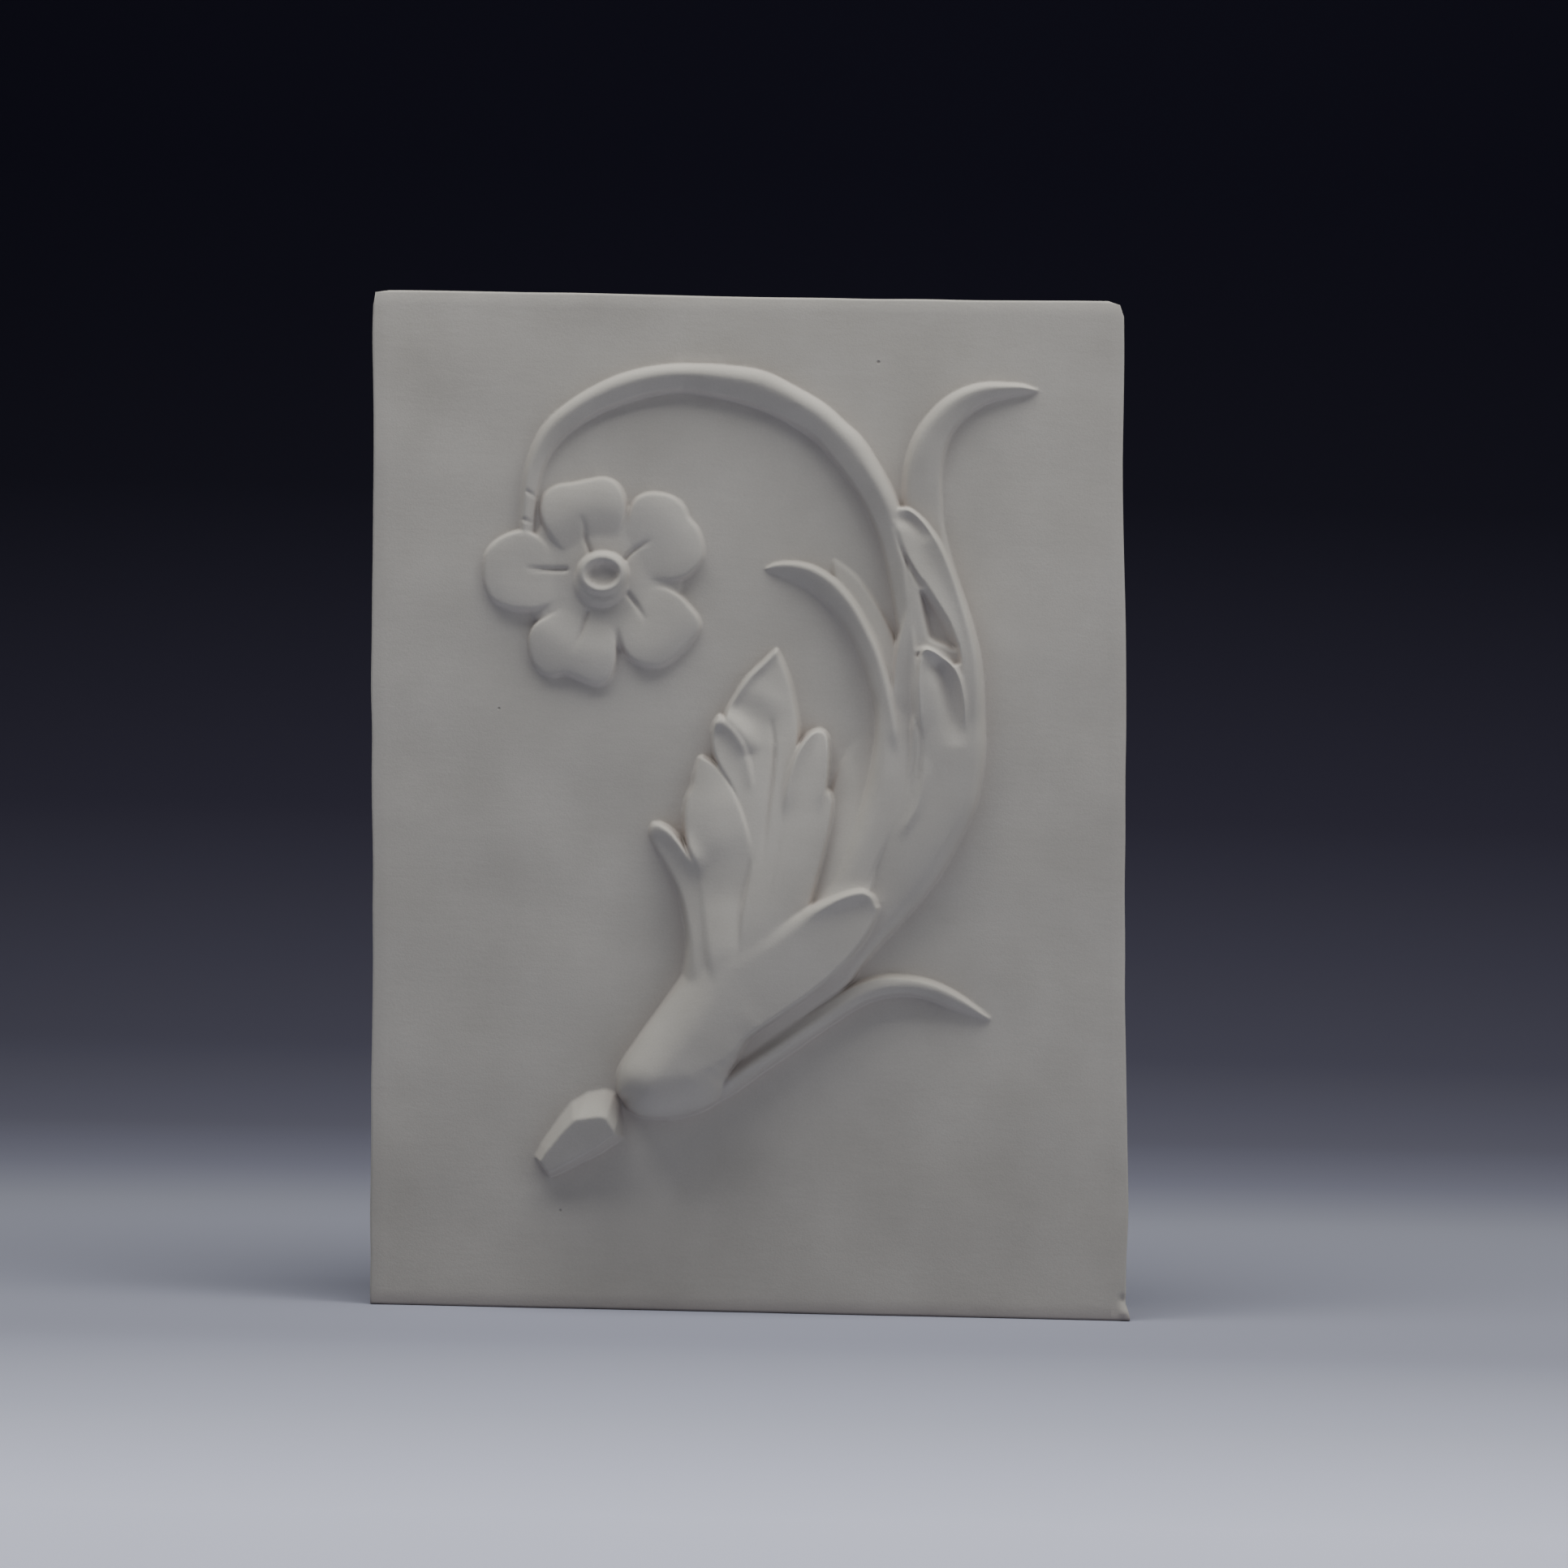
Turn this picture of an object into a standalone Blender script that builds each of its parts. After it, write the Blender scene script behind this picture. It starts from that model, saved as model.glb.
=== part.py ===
"""A plaster bas-relief that stands on its own foot: an acanthus scroll with one flower on a plain slab.

The slab is one cast solid. Its front faces -Y, its foot lies at Z = 0 and its back is flat. The carving
is drawn in the ornament's own frame, in thousandths of the ornament's height: the first number runs right
from its leftmost petal, the second runs up from its lowest corner, and heights stand out from the ground.
"""

from math import cos, pi, radians, sin, tan

import bmesh
import bpy
import numpy as np
from mathutils import Matrix

# Sizes in metres, angles in degrees.
ORNAMENT_HEIGHT = 0.355
MARGIN_LEFT = 0.0484
MARGIN_RIGHT = 0.0407
MARGIN_BELOW = 0.0568
MARGIN_ABOVE = 0.0319
SLAB_THICKNESS = 0.047
ORNAMENT_LEAN = 1.29
LEFT_SIDE_LEAN = 1.10
RIGHT_SIDE_LEAN = 1.55
TOP_RISE = 0.42
TOP_LEFT_RADIUS = 0.003
TOP_RIGHT_RADIUS = 0.006
FOOT_CORNER_RADIUS = 0.0012
ARRIS_RADIUS = 0.002
CORNER_FIN = 0.0012
CORNER_FIN_HEIGHT = 0.008
SCULPTING_STEP = 0.0014
TRIANGLES = 9300

# The ornament's own proportions, in thousandths of its height.
THOUSANDTH = ORNAMENT_HEIGHT / 1000
ORNAMENT_WIDTH = 684


def through(points, steps=6):
    """A smooth curve through the points."""
    p = np.array(points, float).reshape(len(points), -1)
    p = np.vstack([2 * p[0] - p[1], p, 2 * p[-1] - p[-2]])
    t = np.linspace(0, 1, steps, endpoint=False)[:, None]
    spans = [
        0.5 * (2 * b + (c - a) * t + (2 * a - 5 * b + 4 * c - d) * t**2 + (3 * b - a - 3 * c + d) * t**3)
        for a, b, c, d in zip(p, p[1:], p[2:], p[3:])
    ]
    return np.vstack(spans + [p[-2:-1]])


def closed_through(points, steps=6):
    """A smooth closed curve through the points."""
    points = list(points)
    return through(points[-1:] + points + points[:2], steps)[steps:-steps]


def evenly(curve, count=40):
    """Points at even distances along a curve."""
    reach = np.concatenate([[0], np.cumsum(np.sqrt((np.diff(curve, axis=0) ** 2).sum(1)))])
    return np.stack([np.interp(np.linspace(0, reach[-1], count), reach, axis) for axis in curve.T], 1)


def ellipse(centre, half_width, half_height, points=12):
    """Points on an ellipse, for a closed curve."""
    turns = [2 * pi * k / points for k in range(points)]
    return [(centre[0] + half_width * cos(a), centre[1] + half_height * sin(a)) for a in turns]


def eased(values, share):
    """A value read from evenly spaced ones, smoothly joined, at each share of the way."""
    curve = through([(value,) for value in values])[:, 0]
    return np.interp(share, np.linspace(0, 1, len(curve)), curve)


def nearest(spots, curve):
    """Each spot's distance to a curve, and how far along the curve its nearest point is, from 0 to 1."""
    spans = np.diff(curve, axis=0)
    squares = np.maximum((spans**2).sum(1), 1e-9)
    reach = np.concatenate([[0], np.cumsum(np.sqrt(squares))])
    best = np.full(len(spots), np.inf)
    share = np.zeros(len(spots))
    for start, span, square, low, high in zip(curve, spans, squares, reach, reach[1:]):
        k = np.clip(((spots - start) * span).sum(1) / square, 0, 1)
        distance = ((spots - start - k[:, None] * span) ** 2).sum(1)
        closer = distance < best
        best[closer] = distance[closer]
        share[closer] = (low + (high - low) * k[closer]) / reach[-1]
    return np.sqrt(best), share


def within(spots, outline):
    """True for each spot inside a closed outline."""
    inside = np.zeros(len(spots), bool)
    for (x0, z0), (x1, z1) in zip(outline, np.roll(outline, -1, axis=0)):
        if z0 != z1:
            crosses = (z0 > spots[:, 1]) != (z1 > spots[:, 1])
            inside ^= crosses & (spots[:, 0] < x0 + (spots[:, 1] - z0) * (x1 - x0) / (z1 - z0))
    return inside


def rounded(depth, edge):
    """A quarter-round edge: 0 on the outline, 1 from the edge's width inwards."""
    return np.sqrt(1 - (1 - np.clip(depth / edge, 0, 1)) ** 2)


def sloped(depth, edge):
    """A soft edge that starts and ends level."""
    k = np.clip(depth / edge, 0, 1)
    return k * k * (3 - 2 * k)


class Relief:
    """The carved surface: a height above the ground for each spot of the slab's front."""

    def __init__(self, spots):
        self.spots = spots
        self.height = np.zeros(len(spots))

    def inside(self, outline):
        """The spots inside an outline, as their numbers."""
        box = ((self.spots >= outline.min(0)) & (self.spots <= outline.max(0))).all(1)
        numbers = np.flatnonzero(box)
        return numbers[within(self.spots[numbers], outline)]

    def beside(self, curve, reach):
        """The spots within reach of a curve: their numbers, distances and places along it."""
        low, high = curve.min(0) - reach, curve.max(0) + reach
        numbers = np.flatnonzero(((self.spots >= low) & (self.spots <= high)).all(1))
        distance, share = nearest(self.spots[numbers], curve)
        close = distance < reach
        return numbers[close], distance[close], share[close]

    def raise_to(self, numbers, height, soft=0.0):
        """Takes the higher of the old and the new surface, with a soft joint between them."""
        old = self.height[numbers]
        joined = np.maximum(old, height)
        if soft:
            joined += np.maximum(soft - np.abs(old - height), 0) ** 2 / (4 * soft) * (height > 0)
        self.height[numbers] = joined

    def lobe(self, left, right, rise, section=(1, 1), edges=(6, 6), tip_section=None, soft=0.0, root=0.0,
             level=None):
        """A form between two edges drawn from root to tip: rise along it, section across it.
        The section may change towards the tip, and so may the width of each rounded edge, given as a row.
        With a level, the rise is added to what that gives for each spot."""
        left, right = through(left), through(right)
        numbers = self.inside(np.vstack([left, right[::-1]]))
        spots = self.spots[numbers]
        to_left, to_right = nearest(spots, left)[0], nearest(spots, right)[0]
        across = to_left / np.maximum(to_left + to_right, 1e-9)
        along = nearest(spots, (evenly(left) + evenly(right)) / 2)[1]
        shape = eased(section, across)
        if tip_section:
            shape = shape * (1 - along) + eased(tip_section, across) * along
        left_edge, right_edge = (eased(edge, along) if isinstance(edge, tuple) else edge for edge in edges)
        height = eased(rise, along) + (level(spots) if level else 0)
        height = height * shape * rounded(to_left, left_edge) * rounded(to_right, right_edge)
        if root:
            height *= sloped(along, root)
        self.raise_to(numbers, height, soft)

    def pad(self, outline, rise, edge, crown=0.0):
        """A domed form in a closed outline; crown is how much lower its rim is than its middle."""
        curve = closed_through(outline)
        numbers = self.inside(curve)
        spots = self.spots[numbers]
        distance, _ = nearest(spots, curve)
        middle = curve.mean(0)
        outwards = ((spots - middle) ** 2).sum(1) / ((curve - middle) ** 2).sum(1).max()
        self.raise_to(numbers, rise * (1 - crown * outwards) * rounded(distance, edge))

    def petal(self, outline, heart, rise, edge, crown):
        """A petal that rises from the flower's heart outwards, pillowed across; crown is as for a pad."""
        curve = closed_through(outline)
        numbers = self.inside(curve)
        spots = self.spots[numbers]
        outwards = np.sqrt(((spots - heart) ** 2).sum(1)) / np.sqrt(((curve - heart) ** 2).sum(1)).max()
        depth = nearest(spots, curve)[0]
        pillow = 1 - crown * (1 - rounded(depth, 28))
        self.raise_to(numbers, eased(rise, outwards) * pillow * rounded(depth, edge))

    def ring(self, path, half_width, rise):
        """A round ring along a closed path."""
        curve = closed_through(path)
        numbers, distance, _ = self.beside(np.vstack([curve, curve[:1]]), half_width)
        self.raise_to(numbers, rise * np.sqrt(1 - (distance / half_width) ** 2))

    def facets(self, corners, slopes, top, tilt):
        """A block cut in flat facets, one rising from each side to a tilted flat top."""
        corners = np.array(corners, float)
        numbers = self.inside(corners)
        spots = self.spots[numbers]
        height = top + ((spots - corners.mean(0)) * tilt).sum(1)
        for start, end, slope in zip(corners, np.roll(corners, -1, axis=0), slopes):
            side = (end - start) / np.linalg.norm(end - start)
            height = np.minimum(height, ((spots - start) * (side[1], -side[0])).sum(1) * slope)
        self.raise_to(numbers, height)

    def pit(self, outline, floor, edge):
        """Sinks the surface inside an outline to a floor."""
        curve = closed_through(outline)
        numbers = self.inside(curve)
        share = sloped(nearest(self.spots[numbers], curve)[0], edge)
        old = self.height[numbers]
        self.height[numbers] = old * (1 - share) + np.minimum(old, floor) * share

    def ridge(self, path, width, rise, ends=(0, 1, 1, 0)):
        """Adds a soft ridge to the carving along a path, or cuts a groove where the rise is below zero."""
        numbers, distance, along = self.beside(through(path), 3 * width)
        old = self.height[numbers]
        change = rise * eased(ends, along) * np.exp(-((distance / width) ** 2)) * sloped(old, 6)
        self.height[numbers] = np.maximum(old + change, np.minimum(old, 0))


def upper_tendril(relief):
    """The blade that leaves the scroll at the upper right and curls over to a thin tip."""
    relief.lobe(
        ((539, 730), (523, 785), (517, 830), (517, 855), (520, 880), (527, 904), (537, 924), (550, 941),
         (564, 955), (580, 966), (599, 974), (619, 978), (644, 978), (666, 976), (684, 969)),
        ((588, 720), (575, 765), (566, 805), (564, 840), (564, 865), (567, 888), (573, 908), (582, 923),
         (594, 937), (609, 948), (624, 955), (644, 960), (664, 964), (684, 968)),
        rise=(9, 8, 8, 9, 12, 15, 16, 15, 13, 10, 6), section=(0.8, 1, 1, 1, 0.95),
        tip_section=(0.5, 1, 0.95, 0.65, 0.35), edges=((9, 5), (5, 2)))


def arch_stem(relief):
    """The long stem that arches over to the flower, with a soft crest along it."""
    relief.lobe(
        ((526, 510), (525, 560), (520, 600), (516, 635), (511, 668), (505, 705), (498, 745), (490, 778),
         (480, 805), (466, 833), (449, 859), (426, 889), (404, 912), (366, 936), (324, 953), (286, 962),
         (246, 968), (204, 963), (156, 948), (122, 930), (95, 907), (78, 882), (69, 855), (65, 830),
         (62, 800)),
        ((538, 510), (537, 560), (538, 600), (539, 635), (537, 670), (533, 705), (530, 735), (526, 770),
         (520, 800), (512, 828), (502, 850), (486, 878), (466, 909), (444, 930), (419, 952), (380, 975),
         (347, 991), (309, 998), (263, 1001), (217, 999), (171, 989), (133, 972), (102, 952), (79, 932),
         (63, 908), (52, 875), (47, 840), (45, 800)),
        rise=(28, 31, 29, 26, 25, 25, 24, 22, 20, 19, 18, 16, 14, 12, 10, 9),
        section=(0.22, 0.5, 0.78, 1, 0.85, 0.5), edges=(2.5, 5))


def main_stalk(relief):
    """The thick outer stalk, which rises out of the bulb and carries both bracts."""
    relief.lobe(
        ((304, 160), (344, 235), (389, 300), (434, 355), (472, 400), (500, 440), (518, 480), (529, 520),
         (534, 558), (540, 590), (546, 618)),
        ((307, 132), (330, 147), (364, 174), (404, 203), (444, 231), (466, 258), (488, 285), (518, 317),
         (557, 364), (587, 415), (604, 450), (612, 485), (617, 525), (616, 565), (614, 604), (610, 638)),
        rise=(26, 27, 28, 29, 30, 31, 32, 33, 32), section=(0.9, 0.98, 1, 1, 0.92, 0.74),
        tip_section=(0.85, 0.96, 1, 1, 0.94, 0.78), edges=((12, 5), (22, 14)))
    relief.lobe(
        ((300, 138), (334, 162), (364, 184), (404, 212), (444, 242), (468, 266), (488, 290)),
        ((302, 110), (334, 130), (364, 148), (404, 175), (444, 203), (468, 221), (492, 238)),
        rise=(22, 19, 16, 12, 8, 4, 0), edges=(2, 2))


def inner_stalk(relief):
    """The inner stalk, its soft foot beside the leaf, and the crested tip that curls over in front."""
    relief.lobe(
        ((354, 280), (386, 340), (404, 390), (414, 430), (424, 465), (440, 510), (464, 545)),
        ((464, 290), (476, 340), (486, 390), (490, 430), (492, 465), (490, 505), (486, 545)),
        rise=(36, 36, 34, 29, 20, 11, 4, 0), section=(0.4, 0.66, 0.88, 1, 1), edges=(4, 4))
    relief.lobe(
        ((374, 300), (406, 350), (434, 398), (456, 442), (472, 485), (481, 525), (484, 560), (482, 598),
         (472, 638), (458, 674), (445, 700), (435, 725), (430, 745), (430, 762)),
        ((464, 300), (474, 340), (488, 380), (502, 410), (516, 442), (525, 475), (530, 510), (532, 545),
         (530, 578), (523, 608), (515, 640), (504, 670), (490, 697), (477, 718), (462, 738), (446, 752),
         (431, 762)),
        rise=(34, 36, 35, 33, 31, 27, 21, 14, 8, 3), section=(0.85, 0.97, 1, 0.98),
        tip_section=(1, 0.85, 0.72, 0.55), edges=((36, 26, 6, 6), (12, 4)))
    relief.lobe(
        ((450, 440), (466, 475), (478, 510), (484, 545), (482, 575), (476, 600), (468, 627), (456, 655),
         (442, 680), (424, 701), (404, 720), (384, 732), (364, 741), (347, 748)),
        ((516, 440), (522, 490), (519, 545), (512, 580), (503, 615), (491, 650), (476, 680), (462, 704),
         (448, 722), (434, 736), (416, 748), (399, 755), (379, 758), (359, 756), (347, 750)),
        rise=(30, 32, 32, 31, 29, 26, 22, 18, 13, 6), section=(0.5, 0.85, 1, 1, 0.9),
        tip_section=(0.12, 0.4, 0.7, 0.92, 1), edges=((12, 3), (20, 5)), soft=3, root=0.3)


def leaf_level(spots):
    """How far the leaf as a whole stands out: most at the bulb, least at its tip and sides."""
    spine = through(((219, 120), (254, 188), (284, 250), (309, 310), (329, 370), (344, 430), (354, 490),
                    (358, 550), (360, 650)))
    aside, along = nearest(spots, spine)
    return eased((57, 57, 55, 50, 42, 33, 24, 16, 10), along) * np.exp(-((aside / 115) ** 2))


def leaf(relief):
    """The acanthus leaf: two side lobes, the long blade, and a curled lobe and two plain ones on it."""
    relief.lobe(
        ((224, 180), (242, 230), (250, 280), (247, 320), (240, 350), (226, 380), (212, 404), (205, 420),
         (205, 430), (208, 436)),
        ((334, 230), (316, 270), (300, 320), (288, 355), (274, 379), (256, 398), (244, 414), (232, 428),
         (219, 436), (210, 437)),
        rise=(0, 0, -1, -3, -2, 0, 2), section=(0.72, 0.76, 0.82, 0.92, 1), edges=((40, 14, 7, 6, 6),
            (10, 5)), level=leaf_level)
    relief.lobe(
        ((266, 190), (262, 280), (260, 340), (256, 380), (249, 410), (246, 440), (249, 466), (256, 483),
         (259, 500), (264, 516)),
        ((349, 230), (338, 300), (336, 370), (332, 410), (322, 447), (308, 480), (290, 506), (270, 519)),
        rise=(0, 0, 0, -3, -5, -1, 5, 6, 3, 0), section=(0.84, 0.94, 1, 1, 0.97), edges=((20, 6, 5),
            (5, 4)), level=leaf_level)
    relief.ridge(((210, 432), (226, 428), (240, 416), (254, 400), (265, 387), (275, 379)), width=6, rise=9,
        ends=(0.4, 1, 1, 1, 0.2))
    relief.lobe(
        ((264, 190), (297, 270), (312, 330), (324, 378), (322, 410), (313, 445), (302, 478), (293, 510),
         (293, 545), (299, 574), (310, 594), (323, 614), (342, 633), (360, 651)),
        ((364, 200), (382, 270), (392, 320), (396, 358), (398, 388), (397, 422), (394, 456), (392, 490),
         (390, 530), (389, 560), (384, 588), (379, 610), (371, 632), (362, 651)),
        rise=(0, 2, 3, 3, 2, 1, 0, -1, 0), section=(0.95, 0.98, 1, 1, 0.98), edges=((30, 8, 5, 4), (8, 6)),
        level=leaf_level)
    relief.lobe(
        ((274, 210), (316, 290), (338, 340), (352, 390), (362, 440), (376, 472), (399, 482), (422, 479)),
        ((389, 220), (398, 300), (410, 358), (418, 388), (426, 422), (431, 456), (429, 471), (423, 480)),
        rise=(0, 3, 5, 6, 5, 3), section=(0.9, 0.97, 1.02, 1.04, 1.0), edges=((20, 14, 10), (8, 4)),
        soft=3, level=leaf_level)
    relief.lobe(
        ((332, 370), (326, 410), (316, 447), (304, 478), (290, 502), (282, 522), (280, 543), (283, 558),
         (289, 568)),
        ((352, 370), (348, 420), (343, 465), (338, 500), (329, 530), (317, 549), (304, 562), (292, 569)),
        rise=(-2, 1, 4, 6, 6, 5), section=(0.96, 0.88, 0.85, 0.92, 1.0), edges=(4, 6), level=leaf_level)
    relief.ridge(((287, 565), (297, 566), (308, 559), (318, 548), (326, 534), (332, 518)), width=6,
        rise=11, ends=(0.7, 1, 1, 0.9, 0))
    relief.lobe(
        ((356, 410), (361, 450), (367, 480), (376, 508), (386, 529), (398, 544), (407, 550), (414, 552)),
        ((410, 410), (418, 445), (423, 480), (426, 510), (426, 535), (422, 547), (415, 552)),
        rise=(-2, 3, 8, 10, 10, 9), section=(0.95, 1, 1, 1), tip_section=(1.1, 0.86, 0.76, 0.82, 1.0),
        edges=((14, 4), (4, 4)), soft=3, level=leaf_level)
    relief.lobe(
        ((361, 515), (353, 554), (334, 572), (307, 582), (312, 599), (323, 614), (342, 633), (360, 651)),
        ((390, 515), (390, 540), (389, 565), (384, 588), (379, 610), (371, 632), (362, 651)),
        rise=(-4, 0, 2, 3, 3, 3), section=(0.95, 1, 1, 0.97), edges=((32, 32, 26, 10, 4), (6, 5)), soft=2,
        level=leaf_level)
    relief.ridge(((354, 562), (358, 532), (356, 493), (349, 438), (342, 382)), width=3, rise=-3,
        ends=(0.3, 1, 1, 0.7, 0))


def bulb(relief):
    """The bulb, drawn out to the upper right into a broad lobe with a raised rim."""
    relief.lobe(
        ((170, 94), (164, 108), (168, 135), (189, 168), (217, 207), (242, 243), (262, 276), (284, 298),
         (322, 314), (364, 328), (409, 341), (439, 353), (464, 358), (479, 351), (487, 338)),
        ((170, 94), (179, 83), (199, 74), (234, 73), (272, 84), (294, 101), (304, 125), (318, 152),
         (330, 173), (364, 197), (404, 225), (439, 255), (464, 283), (479, 307), (488, 330), (487, 338)),
        rise=(56, 58, 58, 58, 57, 55, 53, 51, 49, 47), section=(0.85, 0.98, 1.04, 1, 0.9, 0.76),
        tip_section=(1.03, 0.94, 0.87, 0.84, 0.83, 0.84),
        edges=((52, 56, 56, 52, 40, 16, 8), (44, 64, 12, 8, 7, 6, 5)), soft=4)


def lower_tendril(relief):
    """The thin tendril that leaves the bulb and curls away at the lower right."""
    relief.lobe(
        ((266, 125), (284, 132), (302, 137), (311, 130), (342, 147), (369, 163), (394, 182), (414, 194),
         (434, 206), (454, 218), (474, 231), (494, 240), (516, 244), (539, 244), (564, 236), (594, 219),
         (624, 196)),
        ((254, 81), (279, 88), (309, 105), (339, 127), (374, 151), (411, 177), (444, 199), (476, 217),
         (511, 224), (544, 221), (579, 207), (623, 193)),
        rise=(28, 30, 27, 23, 20, 17, 14, 11, 4), section=(0.85, 1, 0.86, 0.68, 0.5), edges=((6, 5),
            (5, 2)), soft=2, root=0.12)


def bracts(relief):
    """The two bracts on the outer stalk, the pocket between them and the seams below."""
    relief.lobe(
        ((582, 490), (584, 550), (584, 600), (584, 638), (573, 674), (560, 698), (543, 724), (532, 739),
         (522, 755), (514, 770), (510, 788), (505, 804), (505, 815), (510, 824), (516, 825)),
        ((608, 490), (614, 550), (615, 595), (611, 638), (604, 670), (595, 700), (585, 730), (574, 758),
         (562, 782), (548, 802), (537, 814), (526, 822), (517, 825)),
        rise=(18, 30, 36, 37, 34, 30, 26), section=(0.9, 0.96, 1, 1, 0.95),
        tip_section=(0.93, 0.82, 0.76, 0.84, 1.0), edges=((3, 4), (16, 3)), soft=2)
    relief.lobe(
        ((538, 500), (533, 560), (531, 605), (533, 635), (538, 649), (544, 653)),
        ((604, 500), (596, 550), (593, 590), (587, 616), (577, 632), (564, 642), (554, 649), (545, 653)),
        rise=(24, 33, 37, 38), section=(1.0, 0.97, 0.96, 0.98, 1.0), edges=(4, 3), soft=1)
    relief.ridge(((561, 626), (572, 600), (579, 565), (580, 530)), width=13, rise=-10,
        ends=(0.9, 1, 0.7, 0))
    relief.ridge(((536, 647), (545, 649), (561, 643), (575, 631), (585, 612), (591, 580), (591, 550)),
        width=3.5, rise=4, ends=(0.6, 1, 1, 0.7, 0))
    relief.pit(((534, 721), (542, 723), (550, 714), (561, 698), (571, 679), (580, 662), (585, 651),
               (579, 646), (566, 651), (554, 655), (545, 662), (540, 680), (536, 700)), floor=29, edge=9)
    relief.ridge(((517, 664), (521, 630), (528, 600), (530, 570), (529, 530), (525, 490), (518, 460)),
        width=2, rise=-3, ends=(0, 0.8, 1, 0.9, 0))
    relief.ridge(((531, 600), (534, 565), (537, 545), (536, 515), (533, 485), (526, 460)), width=2,
        rise=-3.5, ends=(0.2, 1, 1, 0.8, 0))


def cut_stem(relief):
    """The cut end of the stem below the bulb, left in flat facets."""
    relief.facets(
        ((63, 25), (72, 42), (94, 74), (109, 92), (129, 104), (149, 108), (162, 104), (168, 93), (172, 70),
         (172, 48), (144, 30), (104, 10), (82, 0)),
        slopes=(2.2, 2.1, 2.0, 1.6, 1.15, 1.1, 1.5, 5, 5, 2.6, 2.6, 2.6, 7), top=29, tilt=(0.05, 0.12))


def flower(relief):
    """The five-petalled flower with a ring at its heart."""
    heart = (145, 740)
    petals = (
        (((110, 766), (99, 769), (88, 780), (78, 794), (71, 810), (70, 828), (75, 842), (90, 852),
         (109, 855), (129, 859), (146, 862), (160, 858), (170, 848), (176, 830), (174, 810), (168, 793),
         (160, 780), (148, 774), (136, 777), (124, 772)),
         ((132, 768), (126, 786), (124, 804), (117, 816)), (2, 3, 7, 12, 15, 13, 9)),
        (((170, 766), (172, 782), (175, 800), (179, 818), (186, 834), (199, 842), (216, 843), (234, 838),
         (247, 827), (254, 812), (265, 798), (271, 780), (271, 762), (262, 748), (246, 736), (224, 733),
         (204, 735), (189, 740), (180, 752)),
         ((172, 758), (186, 772), (210, 786)), (2, 3, 7, 12, 15, 14, 11)),
        (((177, 720), (190, 727), (208, 729), (226, 726), (242, 717), (256, 702), (266, 688), (267, 674),
         (258, 660), (242, 644), (226, 631), (210, 627), (192, 631), (177, 642), (168, 660), (164, 680),
         (166, 702)),
         ((178, 718), (190, 702), (202, 682)), (2, 3, 7, 12, 15, 14, 11)),
        (((104, 714), (92, 700), (76, 690), (62, 680), (55, 662), (58, 638), (68, 623), (84, 616),
         (100, 619), (116, 614), (132, 607), (146, 606), (157, 614), (163, 632), (164, 654), (161, 676),
         (154, 690), (134, 698), (118, 706)),
         ((128, 696), (122, 674), (110, 644)), (2, 3, 7, 11, 15, 14, 11)),
        (((102, 748), (93, 762), (82, 776), (68, 790), (50, 797), (32, 793), (14, 783), (2, 768),
         (-1, 746), (2, 726), (12, 709), (34, 699), (59, 697), (82, 703), (97, 715), (100, 732)),
         ((102, 748), (80, 748), (50, 750)), (2, 3, 7, 12, 15, 14, 11)),
    )
    relief.pad(ellipse(heart, 84, 78), rise=6, edge=34)
    for outline, cut, rise in petals:
        relief.petal(outline, heart, rise, edge=5, crown=0.3)
        relief.ridge(cut, width=4, rise=-5, ends=(1, 1, 0.6, 0))
    relief.pad(ellipse((145, 733), 35, 33), rise=16, edge=12)
    relief.ring(ellipse((147, 742), 24, 20), half_width=9, rise=23)
    relief.pit(ellipse((147, 743), 17, 13), floor=14, edge=5)


def carve(spots):
    """The ornament's height above the ground at each spot, in thousandths."""
    relief = Relief(spots)
    for motif in (upper_tendril, arch_stem, main_stalk, inner_stalk, leaf, lower_tendril, bulb, bracts,
                  cut_stem, flower):
        motif(relief)
    return relief.height


def round_corners(x, z, width, height):
    """Draws the grid's corners in to their radii; x and z run from the foot's left corner."""
    corners = (
        (0, 0, FOOT_CORNER_RADIUS),
        (width, 0, FOOT_CORNER_RADIUS),
        (0, height, TOP_LEFT_RADIUS),
        (width, height, TOP_RIGHT_RADIUS),
    )
    for corner_x, corner_z, radius in corners:
        out_x = np.maximum(1 - np.abs(x - corner_x) / radius, 0)
        out_z = np.maximum(1 - np.abs(z - corner_z) / radius, 0)
        near = (out_x > 0) & (out_z > 0)
        pull_x = out_x * (1 - np.sqrt(1 - out_z**2 / 2))
        pull_z = out_z * (1 - np.sqrt(1 - out_x**2 / 2))
        x = np.where(near, x + np.sign(width / 2 - corner_x) * pull_x * radius, x)
        z = np.where(near, z + np.sign(height / 2 - corner_z) * pull_z * radius, z)
    return x, z


def arris(lines, count, length):
    """Grid lines from 0 to a length, whose first and last two follow the rounded arris, and its fall."""
    from_end = np.minimum(lines, count - lines)
    turn = np.minimum(from_end / 2, 1) * pi / 2
    flat = ARRIS_RADIUS + (length - 2 * ARRIS_RADIUS) * (from_end - 2) / (count - 4)
    place = np.where(from_end < 2, ARRIS_RADIUS * (1 - np.cos(turn)), flat)
    return np.where(lines > count / 2, length - place, place), ARRIS_RADIUS * (1 - np.sin(turn))


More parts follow.
